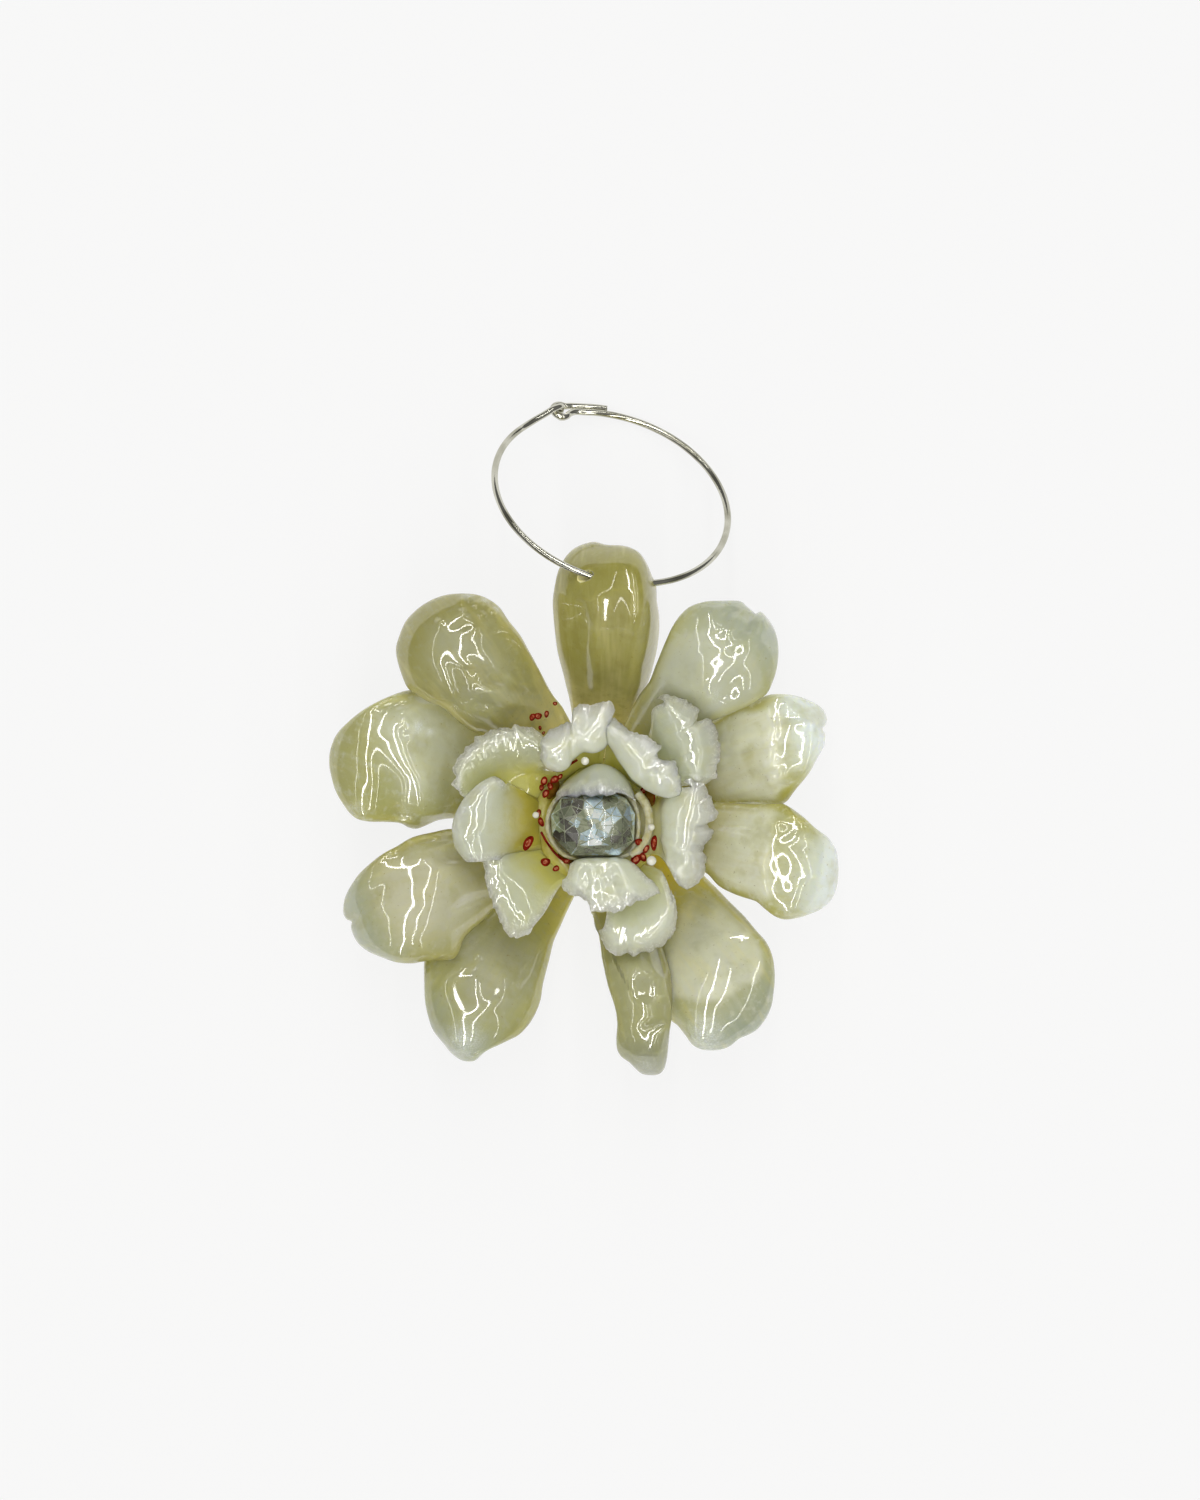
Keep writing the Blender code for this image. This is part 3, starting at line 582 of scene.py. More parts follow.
LOW, HIGH = 3.0, 5.3
OUTER = {
    "petal_top": Petal(
        85.5, 28.5, 1.3, 5.0, 0.76, 2.9, (LOW, 1.5, 31.0, 16.0), 4.6, -0.55, (606, 640),
        [(585, 775), (575, 735), (570, 704), (563, 674), (557, 649), (554, 622), (553, 600), (556, 579),
         (561, 565), (570, 552), (581, 545), (594, 542), (606, 545), (623, 546), (636, 551), (644, 560),
         (650, 572), (655, 585), (657, 600), (659, 617), (659, 632), (657, 649), (653, 666), (649, 680),
         (643, 702), (637, 718), (628, 745), (620, 775)],
        strokes=[([(558, 590), (580, 577), (600, 582), (630, 592), (652, 590)], 0.9, -0.12)],
        lines=[([(604, 598), (602, 640), (603, 690)], NEAR_LAMP)],
        core=[(594, 600), (630, 596), (640, 640), (622, 690), (604, 690), (596, 640)], core_edge=1.4,
        colours=OLIVE),
    "petal_upper_left": Petal(
        129.5, 28.7, -0.4, 5.8, 0.70, 2.6, (HIGH, 7.5, 26.5, 14.0), 3.0, 0.1, (466, 655),
        [(560, 775), (520, 752), (486, 734), (475, 732), (463, 725), (452, 716), (443, 708), (425, 700),
         (409, 689), (404, 680), (399, 666), (396, 650), (399, 637), (406, 621), (420, 607), (436, 598),
         (452, 594), (472, 594), (486, 598), (499, 607), (509, 621), (520, 635), (529, 651), (540, 671),
         (552, 694), (563, 709), (575, 735), (580, 765)],
        strokes=[([(432, 625), (422, 650), (432, 680), (452, 698)], 0.8, -0.08)]
        + [([(px, py)], 0.25, 0.22) for px, py in ((462, 601), (470, 599), (477, 604), (484, 603), (490, 609),
                                                   (494, 612), (463, 613), (500, 617), (482, 615), (440, 623))],
        lines=[([(472, 626), (463, 636), (459, 648), (463, 660), (473, 672), (480, 690), (494, 704)], NEAR_LAMP),
               ([(474, 634), (476, 648), (488, 664), (506, 684)], RIGHT_LAMP)],
        core=[(432, 630), (455, 622), (485, 640), (510, 675), (522, 705), (490, 712), (460, 700), (436, 668)],
        # The white spots here are painted glints on the rim's specks.
        core_edge=1.8, frost_and_glint=[((468, 600), 0.5, 0.5), ((483, 605), 0.45, 0.5), ((494, 612), 0.4, 0.5)],
        wave=0.8, colours=UPPER_LEFT),
    "petal_left": Petal(
        164.5, 28.2, -1.2, 6.3, 0.68, 2.6, (LOW, 2.0, 22.0, 13.0), 2.0, 0.0, (400, 762),
        [(545, 805), (500, 815), (460, 818), (447, 819), (436, 821), (427, 825), (416, 829), (407, 827),
         (399, 823), (382, 822), (365, 821), (354, 817), (345, 807), (336, 792), (331, 776), (329, 764),
         (330, 750), (336, 735), (347, 723), (363, 710), (379, 701), (395, 694), (409, 690), (430, 690),
         (460, 705), (500, 740), (545, 775)],
        lines=[([(409, 704), (399, 713), (394, 728), (396, 748), (404, 764), (413, 780), (415, 800), (416, 816)],
                NEAR_LAMP)],
        strokes=[([(357, 785), (358, 815)], 0.7, 0.12), ([(395, 795), (393, 820)], 0.7, -0.12),
                 ([(438, 796), (432, 822)], 0.8, 0.12),
                 ([(404, 720), (416, 730), (430, 734)], 0.3, 0.25),
                 ([(418, 720), (412, 738)], 0.3, 0.25)],
        core=[(372, 715), (420, 700), (455, 725), (470, 760), (450, 790), (405, 795), (385, 760)],
        core_edge=2.2, follow=2.3,
        # The white spots here paint a highlight on a flake and glints along the lower edge.
        frost_and_glint=[((413, 729), 0.6, 0.95), ((424, 733), 0.4, 0.7), ((358, 806), 0.9, 0.4), ((402, 810), 0.9, 0.3)],
        colours=LEFT),
    "petal_lower_left": Petal(
        202.0, 27.4, 0.3, 6.1, 0.66, 2.6, (HIGH, 7.5, 25.0, 13.5), 2.5, 0.1, (420, 893),
        [(545, 850), (500, 838), (470, 830), (449, 829), (434, 832), (413, 837), (397, 846), (381, 855),
         (363, 870), (352, 884), (345, 898), (343, 911), (346, 919), (352, 922), (351, 927), (353, 934),
         (358, 943), (368, 951), (382, 957), (397, 962), (413, 963), (425, 961), (450, 960), (458, 954),
         (463, 941), (472, 930), (484, 920), (500, 905), (550, 875)],
        lines=[([(440, 842), (424, 851), (413, 868), (410, 888), (411, 906), (404, 922), (401, 942), (403, 957)],
                NEAR_LAMP),
               ([(432, 866), (428, 888), (422, 905), (417, 926), (413, 944), (416, 957)], RIGHT_LAMP)],
        strokes=[([(345, 915), (368, 905), (385, 880)], 0.9, -0.2)],
        core=[(385, 870), (430, 850), (480, 855), (500, 880), (470, 915), (440, 935), (400, 935), (378, 905)],
        core_edge=2.0, follow=2.6, colours=LOWER),
    "petal_bottom_left": Petal(
        237.0, 28.0, 0.2, 5.4, 0.66, 2.6, (LOW, 2.0, 22.0, 12.5), 2.5, 0.1, (485, 985),
        [(560, 870), (510, 890), (460, 925), (428, 948), (424, 961), (424, 984), (425, 1002), (429, 1020),
         (434, 1032), (443, 1043), (452, 1054), (463, 1061), (474, 1061), (481, 1055), (488, 1050),
         (507, 1041), (520, 1034), (532, 1020), (540, 1002), (543, 984), (549, 961), (554, 941), (561, 925),
         (568, 909), (577, 890), (582, 870)],
        lines=[([(484, 938), (475, 952), (470, 966), (458, 974), (452, 984), (453, 996), (460, 1010), (463, 1030),
                 (464, 1054)], NEAR_LAMP),
               ([(484, 962), (492, 972), (500, 983), (498, 996), (485, 1008), (474, 1022), (471, 1050)], RIGHT_LAMP)],
        core=[(465, 940), (505, 935), (530, 950), (525, 990), (500, 1015), (470, 1010), (455, 980)],
        core_edge=2.4, frost_and_glint=[((466, 1037), 1.5, 0.75), ((458, 1045), 0.8, 0.4)], colours=BOTTOM_LEFT),
    "petal_bottom": Petal(
        282.2, 26.3, 0.2, 2.8, 0.55, 2.2, (HIGH, 7.0, 24.5, 12.5), 1.6, 0.2, (636, 1000),
        [(600, 870), (590, 900), (595, 921), (599, 941), (603, 964), (608, 986), (615, 1008), (617, 1026),
         (617, 1047), (621, 1056), (630, 1063), (638, 1071), (645, 1075), (658, 1075), (664, 1069),
         (667, 1056), (669, 1037), (671, 1020), (672, 1000), (671, 975), (664, 950), (650, 910), (635, 870)],
        lines=[([(654, 978), (654, 996)], NEAR_LAMP),
               ([(664, 1024), (656, 1031), (650, 1045), (650, 1058), (653, 1068)], NEAR_LAMP)],
        core=[(625, 930), (655, 930), (664, 975), (655, 1005), (635, 1000), (622, 960)], core_edge=1.6, wave=0.5,
        # The white spot here is a painted highlight.
        frost_and_glint=[((645, 1060), 0.9, 0.3)], colours=BOTTOM),
    "petal_bottom_right": Petal(
        306.0, 27.0, -0.6, 5.9, 0.70, 2.3, (LOW, 2.0, 22.0, 12.5), 2.2, -0.1, (714, 975),
        [(615, 850), (625, 890), (640, 930), (655, 970), (664, 1005), (671, 1020), (678, 1026), (686, 1036),
         (693, 1045), (704, 1050), (719, 1050), (730, 1046), (739, 1039), (754, 1032), (763, 1023),
         (771, 1008), (774, 990), (775, 975), (773, 958), (767, 943), (756, 930), (745, 917), (732, 904),
         (719, 891), (706, 878), (670, 840)],
        lines=[([(712, 940), (718, 958), (717, 976), (710, 992), (706, 1010), (705, 1042)], NEAR_LAMP),
               ([(729, 942), (735, 960), (732, 980), (723, 996), (715, 1014), (712, 1044)], RIGHT_LAMP)],
        core=[(668, 960), (668, 996), (690, 999), (706, 1002), (719, 1001), (732, 995), (741, 986), (750, 984),
              (760, 974), (760, 955), (750, 935), (725, 905), (690, 900)],
        core_edge=0.45, frost_and_glint=[((706, 1032), 1.7, 0.75), ((697, 1026), 1.0, 0.4)], colours=PALE),
    "petal_right_lower": Petal(
        347.5, 25.6, 0.0, 5.5, 0.72, 2.5, (HIGH, 7.5, 26.0, 13.0), 2.2, 0.0, (768, 857),
        [(650, 850), (680, 862), (705, 872), (719, 886), (737, 895), (755, 901), (766, 910), (777, 917),
         (788, 919), (806, 915), (822, 908), (833, 897), (838, 879), (837, 854), (829, 839), (815, 828),
         (802, 816), (786, 805), (777, 803), (755, 804), (737, 803), (700, 803), (650, 815)],
        lines=[([(786, 804), (780, 824), (773.6, 844), (772, 865), (774.5, 886), (779, 903), (786, 916)], NEAR_LAMP),
               ([(790, 846), (798, 858), (803, 868), (806, 878)], RIGHT_LAMP)],
        strokes=[([(720, 812), (765, 815)], 0.8, 0.2), ([(715, 845), (768, 850)], 1.0, 0.2),
                 ([(718, 828), (768, 832)], 0.7, -0.15), ([(716, 868), (768, 876)], 0.8, -0.15)],
        core=[(700, 808), (740, 806), (776, 812), (775, 843), (773, 865), (775, 888), (765, 902), (735, 888),
              (705, 868)],
        core_edge=0.6, frost_and_glint=[((785, 905), 0.9, 0.3)], colours=CREAM),
    "petal_right_upper": Petal(
        22.5, 25.3, 0.0, 5.2, 0.72, 2.5, (LOW, 2.0, 23.0, 13.5), 2.0, 0.0, (768, 750),
        [(650, 812), (700, 808), (745, 805), (775, 805), (786, 802), (795, 790), (808, 774), (817, 758),
         (824, 745), (825, 735), (822, 729), (826, 724), (827, 718), (823, 709), (813, 702), (797, 696),
         (782, 694), (768, 695), (757, 700), (739, 705), (710, 722), (660, 765)],
        strokes=[([(737, 745), (773, 732)], 0.75, 0.3), ([(733, 765), (774, 759)], 0.75, 0.25),
                 ([(738, 784), (772, 782)], 0.8, 0.22), ([(726, 736), (764, 718)], 0.8, -0.22),
                 ([(730, 756), (773, 745)], 0.7, -0.18), ([(736, 775), (775, 770)], 0.7, -0.16),
                 ([(780, 712), (777, 750), (781, 785)], 0.8, -0.22)],
        lines=[([(800, 717), (792, 726), (786.4, 738), (784.3, 755.6), (785, 773), (791, 788)], NEAR_LAMP),
               ([(806, 724), (805, 741), (803, 755.6), (801, 778)], RIGHT_LAMP)],
        core=[(715, 730), (745, 712), (772, 712), (787, 722), (782, 750), (787, 782), (775, 798), (715, 800)],
        core_edge=0.6, colours=CREAM),
    "petal_upper_right": Petal(
        53.5, 27.2, 0.0, 5.5, 0.70, 2.5, (HIGH, 7.5, 26.0, 14.0), 2.0, 0.0, (714, 662),
        [(612, 770), (625, 725), (639, 696), (649, 682), (657, 662), (666, 640), (675, 622), (688, 608),
         (704, 602), (719, 601), (739, 601), (746, 606), (752, 611), (756, 614), (761, 612), (768, 619),
         (775, 631), (778, 647), (777, 665), (773, 680), (766, 694), (750, 705), (730, 714), (700, 730),
         (655, 780)],
        strokes=[([(756, 606), (754, 620)], 0.7, -0.1),
                 ([(668, 648), (683, 637), (704, 634), (719, 639), (729, 651)], 0.5, -0.04),
                 ([(733, 653), (746, 656), (754, 666), (758, 682)], 0.5, -0.04)],
        lines=[([(737.6, 611), (731.7, 625.5), (724, 635.8), (724, 646), (717, 655), (712.4, 670), (710.4, 693)],
                NEAR_LAMP),
               ([(757, 614), (755, 629), (746, 640), (740.5, 655), (729, 668), (720, 682), (717.5, 696)],
                RIGHT_LAMP)],
        core=[(655, 672), (670, 645), (683, 636), (704, 633), (719, 638), (730, 651), (746, 654), (755, 665),
              (759, 680), (755, 700), (720, 716), (680, 730), (655, 700)],
        # The white spot here is a painted highlight where the lamps' lines end.
        core_edge=0.4, frost_and_glint=[((716, 692), 0.9, 0.45)], wave=0.7, follow=1.5, colours=UPPER_RIGHT),
}


# Inner petals. Each row of points runs across the petal, from its root out to the rim: (px, py, height)
FRILL_GRID = (48, 116)
FRILL_THICKNESS = 0.5
FRILL_THINNING = 0.35  # share of the border over which they thin out
FRILL_CURVE = -0.13
FRILL_FOLLOW = 1.0
FRILL_HEIGHT = 18.0
FRILL_ROUNDS = 3
TEARS = ((0.4, 0.24, 0), (1.3, 0.2, 7))  # size, depth and step of the seed
BUD_TEARS = 0.35  # share of them that the small one has
FRILL_WAVES = ((3.4, 0.14, 0), (1.4, 0.03, 40))
RIM_WAVES = ((0.7, 0.08, 80),)
CREASES = {  # share across the petal, width and depth
    "frill_top_left": ((0.43, 0.06, -0.14),),
    "frill_top_right": ((0.6, 0.05, -0.1), (0.3, 0.1, 0.12)),
    "frill_upper_right": ((0.62, 0.05, -0.14), (0.35, 0.08, 0.15)),
    "frill_right": ((0.32, 0.05, -0.12), (0.12, 0.07, 0.15)),
    "frill_bottom": ((0.72, 0.06, -0.1),),
    "frill_lower_left": ((0.75, 0.06, -0.15),),
}
IVORY = {  # how pale each one is
    "frill_upper_left": 0.45, "frill_left": 0.60, "frill_lower_left": 0.52, "frill_bottom_right": 0.63,
    "frill_upper_right": 0.54, "frill_right": 0.66, "frill_top_left": 0.73, "frill_top_right": 0.71,
    "frill_bottom": 0.63, "bud_petal": 0.51,
}
USUAL_THROAT_TOP = 14.6  # height at which ivory starts to show
THROAT_TOP = {  # the same, where it differs
    "frill_bottom_right": 12.8, "frill_upper_right": 13.0, "frill_right": 14.3, "frill_left": 15.2,
    "frill_upper_left": 14.4, "frill_lower_left": 13.9,
}
IVORY_TINT, CLEAR_TINT = (0.98, 1.04, 0.82), (0.88, 0.95, 0.72)
THROAT, DEEP_THROAT = (0.55, 0.53, 0.13), (0.46, 0.40, 0.06)
LINES = {  # where each lamp shines on them
    "frill_top_left": (([(550, 741), (553, 752), (559, 764)], NEAR_LAMP),
                       ([(572, 725), (566, 738), (562, 750), (560, 763)], RIGHT_LAMP)),
    "frill_left": (([(467, 808), (463, 816), (462, 826), (467, 837)], NEAR_LAMP),
                   ([(473, 806), (476, 816), (474, 830), (471, 838)], RIGHT_LAMP)),
    "frill_lower_left": (([(483, 850), (489, 862), (487, 876), (496, 897), (506, 918), (512, 936)], NEAR_LAMP),
                         ([(492, 852), (497, 862), (496, 875), (503, 891), (514, 908), (525, 922)], RIGHT_LAMP)),
    "frill_bottom": (([(591, 860), (595, 873), (596, 885), (593, 897), (598, 911)], NEAR_LAMP),
                     ([(603, 860), (604, 873), (609, 888), (613, 900), (608, 911)], RIGHT_LAMP)),
    "frill_bottom_right": (([(624, 937), (621, 953)], NEAR_LAMP), ([(636, 940), (641, 952)], RIGHT_LAMP)),
    "frill_upper_right": (([(684, 718), (690, 733), (693, 745), (692, 762)], NEAR_LAMP),),
    "frill_right": (([(672, 860), (676, 872), (683, 880)], NEAR_LAMP),
                    ([(690, 858), (691, 868), (686, 878)], RIGHT_LAMP)),
    "frill_top_right": (([(640, 736), (650, 750), (660, 764), (668, 782)], NEAR_LAMP),),
}


def ring(start, end, radius, z, count=5):
    """A row round the knob between two directions."""
    turns = np.radians(np.linspace(start, end, count))
    return [(radius * math.cos(t), radius * math.sin(t), z) for t in turns]


def row(points):
    """A row of pixels, each with its height."""
    return [tuple(at(*p)) for p in points]


def level(points, z):
    """A row of pixels at one height, highest in its middle."""
    share = np.linspace(-1, 1, len(points))
    return [tuple(at(px, py, z - 0.5 * t * t)) for (px, py), t in zip(points, share)]


FRILLS = {
    "frill_upper_left": [
        ring(188, 118, 5.4, 8.2), ring(184, 122, 5.9, 13.4),
        level([(504, 812), (500, 796), (508, 782), (522, 772), (546, 770)], 15.3),
        level([(464, 797), (470, 782), (479, 768), (490, 760), (505, 756), (522, 757), (549, 763)], 17.0),
        level([(459, 791), (460, 771), (470, 754), (488, 742), (508, 737), (528, 741), (551, 753)], 17.8),
        row([(456, 789, 17.0), (452, 783, 17.1), (455, 776, 17.2), (452, 769, 17.2), (457, 762, 17.3), (458, 756, 17.3),
             (464, 753, 17.4), (466, 747, 17.4), (473, 743, 17.4), (476, 737, 17.4), (484, 735, 17.4), (488, 730, 17.4),
             (497, 730, 17.4), (503, 726, 17.4), (510, 728, 17.4), (514, 724, 17.3), (522, 726, 17.2), (534, 729, 17.0),
             (550, 741, 16.6)]),
    ],
    "frill_left": [
        ring(212, 156, 5.4, 9.2), ring(208, 158, 5.8, 13.6),
        level([(516, 856), (522, 838), (523, 815), (521, 796), (512, 784)], 15.8),
        level([(496, 860), (494, 840), (495, 818), (499, 800), (506, 784)], 18.3),
        level([(476, 862), (469, 845), (469, 822), (476, 800), (489, 786), (502, 780)], 19.2),
        row([(466, 862, 17.6), (456, 847, 18.0), (453, 829, 18.2), (457, 812, 18.4), (466, 797, 18.6), (479, 785, 18.6),
             (494, 776, 18.2)]),
        row([(470, 859, 17.0), (459, 846, 17.2), (456.5, 830, 17.4), (460.5, 814, 17.6), (469, 800, 17.8),
             (481, 789, 18.0), (496, 780, 17.8)]),
    ],
    "frill_lower_left": [
        ring(256, 204, 5.4, 8.2), ring(254, 206, 5.9, 13.2),
        level([(562, 884), (548, 882), (538, 872), (526, 856), (514, 836)], 15.2),
        level([(545, 912), (536, 906), (522, 886), (510, 866), (498, 840)], 16.8),
        level([(534, 926), (522, 921), (508, 903), (499, 884), (491, 862), (478, 840)], 17.5),
        row([(531, 932, 16.2), (517, 939, 16.4), (504, 930, 16.8), (498, 916, 17.0), (490, 897, 17.2), (485, 882, 17.3),
             (483, 866, 17.1), (469, 846, 16.4)]),
    ],
    "frill_bottom_right": [
        ring(266, 318, 5.4, 8.2), ring(268, 316, 6.2, 12.6),
        level([(606, 905), (622, 910), (642, 903), (657, 890), (662, 872)], 15.4),
        level([(604, 926), (620, 937), (644, 936), (664, 922), (673, 900)], 16.7),
        row([(599, 930, 15.0), (603, 944, 15.2), (610, 953, 15.4), (620, 956, 15.5), (627, 953, 15.5), (634, 956, 15.5),
             (642, 952, 15.5), (650, 952, 15.5), (660, 947, 15.5), (667, 942, 15.5), (674, 934, 15.4), (677, 920, 15.3),
             (676, 903, 15.1), (670, 887, 14.9)]),
    ],
    "frill_upper_right": [
        ring(16, 68, 5.4, 8.2), ring(20, 66, 5.9, 13.4),
        level([(668, 788), (664, 768), (656, 750), (648, 736)], 15.6),
        level([(684, 786), (678, 765), (669, 742), (659, 722), (652, 710)], 17.2),
        level([(699, 784), (697, 762), (690, 738), (678, 716), (664, 702)], 18.2),
        row([(705, 785, 15.8), (712, 780, 16.0), (717, 777, 16.2), (717, 766, 16.6), (721, 753, 16.9), (719, 739, 17.0),
             (715, 725, 17.0), (708, 718, 17.0), (697, 721, 17.2), (698, 709, 17.1), (692, 704, 17.0), (684, 699, 16.8),
             (674, 696, 16.6), (665, 694, 16.4), (656, 698, 16.2)]),
    ],
    "frill_right": [
        ring(332, 18, 5.4, 9.2), ring(334, 18, 5.6, 13.8),
        level([(660, 857), (653, 843), (651, 828), (652, 812), (660, 797)], 15.8),
        level([(669, 869), (667, 849), (666, 828), (667, 808), (672, 789)], 17.8),
        level([(675, 880), (685, 856), (688, 828), (690, 808), (691, 786)], 18.7),
        row([(679, 886, 17.0), (688, 889, 16.8), (697, 884, 16.8), (704, 873, 17.0), (706, 859, 17.4), (703, 847, 17.7),
             (713, 833, 17.8), (707, 825, 17.9), (718, 817, 17.9), (714, 806, 18.0), (710, 796, 18.0), (704, 784, 18.0),
             (693, 780, 18.0), (681, 781, 18.0)]),
    ],
    "frill_top_left": [
        ring(136, 84, 5.4, 9.2), ring(134, 84, 5.6, 13.8),
        level([(553, 764), (566, 758), (577, 748), (592, 742), (609, 730)], 15.8),
        level([(541, 760), (549, 767), (559, 770), (568, 766), (574, 758), (582, 751), (594, 751), (603, 746),
               (610, 735)], 18.3),
        level([(541, 751), (553, 750), (566, 745), (577, 733), (594, 728), (611, 724)], 19.8),
        row([(539, 744, 18.0), (545, 734, 18.6), (554, 727, 18.8), (563, 723, 19.0), (573, 722, 19.2), (573, 708, 19.0),
             (586, 704, 19.0), (592, 705, 19.0), (600, 702, 19.0), (609, 702, 19.0), (615, 709, 18.8),
             (612, 718, 18.8)]),
    ],
    "frill_top_right": [
        ring(84, 26, 5.4, 10.4), ring(82, 28, 5.6, 14.2),
        level([(607, 730), (626, 748), (640, 762), (654, 774), (672, 784)], 16.2),
        level([(603, 735), (614, 749), (624, 763), (632, 776), (641, 785), (654, 792), (668, 796), (679, 795)], 18.4),
        level([(604, 725), (624, 743), (640, 757), (655, 772), (668, 783), (680, 793)], 19.9),
        row([(605, 715, 18.6), (619, 721, 19.0), (631, 729, 19.4), (643, 734, 19.5), (655, 742, 19.5), (662, 746, 19.5),
             (657, 755, 19.6), (662, 760, 19.6), (673, 761, 19.4), (677, 768, 19.2), (680, 779, 18.9),
             (682, 791, 18.5)]),
    ],
    "frill_bottom": [
        ring(238, 304, 5.4, 10.4), ring(240, 302, 5.5, 14.6),
        level([(570, 864), (584, 861), (600, 860), (616, 860), (633, 863)], 17.8),
        row([(567, 876, 17.8), (578, 884, 18.8), (590, 886, 19.0), (600, 881, 18.5), (612, 885, 18.9), (628, 884, 18.9),
             (647, 877, 18.0)]),
        row([(562, 880, 17.4), (564, 890, 17.6), (574, 896, 18.0), (586, 901, 18.4), (592, 911, 18.5), (603, 913, 18.5),
             (618, 912, 18.5), (631, 905, 18.5), (646, 899, 18.3), (660, 892, 17.8), (652, 880, 17.8)]),
    ],
    "bud_petal": [
        ring(70, 108, 5.4, 10.6), ring(66, 112, 5.5, 14.0),
        row([(632, 790, 16.2), (622, 777, 17.0), (611, 769, 17.5), (598, 766, 17.7), (586, 770, 17.5), (574, 778, 17.0),
             (558, 790, 16.2)]),
        row([(634, 795, 17.4), (622, 787, 18.6), (610, 782, 19.2), (598, 781, 19.4), (585, 784, 19.2), (573, 790, 18.5),
             (556, 797, 17.0)]),
        row([(634, 800, 18.0), (626, 795, 18.9), (618, 793, 19.4), (608, 796, 19.7), (600, 794, 19.8), (592, 797, 19.7),
             (584, 795, 19.5), (575, 798, 18.9), (565, 796, 18.2), (555, 802, 17.4)]),
    ],
}


def layered(points, layers, seed):
    """Waves of several sizes, added up."""
    return sum(waves(points, size, seed + step) * height for size, height, step in layers)


def frill(name, rows, material, seed):
    """An inner petal: a thin sheet through its rows, with a torn rim."""
    along, across = FRILL_GRID
    lines = np.array([spline(r, across) for r in rows])
    outward = lines[-1] - lines[-2]
    outward /= np.linalg.norm(outward, axis=1, keepdims=True)
    tears = layered(lines[-1], TEARS, seed) * (BUD_TEARS if name == "bud_petal" else 1.0)
    lines[-1] = lines[-1] + outward * tears[:, None]
    body = np.array([spline(lines[:, k], along) for k in range(across)]).transpose(1, 0, 2)
    body = body[:, ::-1]
    normal = grid_normals(body)
    s = np.linspace(0, 1, along)[:, None] * np.ones((1, across))
    t = np.linspace(-1, 1, across)[None, :] * np.ones((along, 1))
    border = np.minimum(np.minimum(1 - s, s) * 2.4, (1 - np.abs(t)) * 1.6)
    half = FRILL_THICKNESS / 2 * np.clip(border / FRILL_THINNING, 0, 1) ** 0.8
    ripple = layered(body, FRILL_WAVES, seed) + layered(body, RIM_WAVES, seed) * smooth((s - 0.75) / 0.25)
    for place, width, depth in CREASES.get(name, ()):
        ripple = ripple + depth * np.exp(-(((1 - t) / 2 - place) / width) ** 2) * smooth((s - 0.3) / 0.4)
    body = body + normal * (ripple * np.clip(border * 3, 0.3, 1))[..., None]
    body = follow(body, LINES.get(name, ()), FRILL_FOLLOW, FRILL_CURVE, smooth(border / 0.15), FRILL_HEIGHT,
                  FRILL_ROUNDS)
    upper = body + normal * half[..., None]
    lower = body - normal * half[..., None]
    run = np.concatenate([np.zeros((1, across)), np.cumsum(np.linalg.norm(np.diff(body, axis=0), axis=2), axis=0)])
    edge = np.minimum(run[-1:] - run, (1 - np.abs(t)) * 6.0 + 3.0 * (1 - smooth((s - 0.35) / 0.35)))
    fields = {"rim": edge, "high": body[..., 2]}
    thing = closed_sheet(name + "_resin", upper, lower, material, fields)
    thing.data.set_sharp_from_angle(angle=math.radians(75))
    return thing


# Crystal under its coat of resin, and the beads


FACET_BLACK = (0.035, 0.028, 0.016)
FACET_COLOURS = (  # tones between which each colour comes in: dark to blue-white, painted reflections and flashes over the glass's tints
    (0.05, 0.22, (0.22, 0.26, 0.14)), (0.28, 0.45, (0.42, 0.45, 0.30)), (0.5, 0.62, (0.44, 0.58, 0.66)),
    (0.66, 0.78, (0.62, 0.78, 0.83)), (0.84, 0.95, (0.88, 0.92, 0.90)),
)


def facet_material():
    """Foiled glass: each facet has the tone of its field, painted to stand for its reflections and flashes, broken up
    by painted sparkle.
    """
    n = Nodes("crystal_facets")
    cell = n.node("ShaderNodeTexVoronoi", {"Vector": n.place(), "Scale": 1.0 / (1.1 * MM), "Randomness": 1.0})
    split = n.node("ShaderNodeSeparateColor", {"Color": cell.outputs["Color"]})
    painted_sparkle = n.noise(0.5, 2.0, 0.7, 0.8)
    tone = n.math("MULTIPLY_ADD", n.math("SUBTRACT", split.outputs[0], 0.5), 0.5, n.field("tone"))
    tone = n.math("MULTIPLY_ADD", n.math("SUBTRACT", painted_sparkle, 0.5), 0.5, tone)
    colour = FACET_BLACK
    for low, high, tint in FACET_COLOURS:
        colour = n.mix(n.ramp(tone, low, high), colour, tint)
    n.set(Base_Color=colour, Subsurface_Weight=0.5, Subsurface_Radius=(1.0, 1.0, 1.0), Subsurface_Scale=0.0012,
          Roughness=0.12, IOR=1.6)
    return n.material


CRYSTAL_OUTLINE = [(561, 798), (551, 815), (552, 835), (571, 855), (619, 855), (634, 840), (635, 814), (626, 798),
                   (606, 790), (580, 790)]
CRYSTAL_MIDDLE = (594, 823)
CRYSTAL_BEVEL = 0.05
CRYSTAL_CUTS = (  # size and height of each ring of corners; the odd ones are between the corners of the others
    (0.16, 3.7), (0.46, 3.5), (0.7, 3.1), (0.88, 2.55), (1.0, 1.9), (1.0, -0.5), (0.85, -2.0), (0.55, -3.3),
    (0.2, -4.2),
)
PAINTED_FLASHES = (  # px, py and tone of the facets near them: painted flashes and dark reflections
    (557, 822, 0.32), (571, 806, 0.06), (561, 842, 0.12), (579, 826, 0.62), (583, 850, 0.34), (594, 806, 0.92),
    (596, 832, 0.86), (611, 812, 0.78), (606, 826, 0.95), (604, 850, 0.5), (626, 814, 0.44), (622, 836, 0.24),
    (588, 816, 0.42), (569, 830, 0.08), (566, 812, 0.3), (614, 801, 0.36), (616, 848, 0.44), (633, 826, 0.46),
)
SMALL_FACET, EDGE_TONE = 0.125, 0.5  # bevelled edges are smaller than this, and have one tone


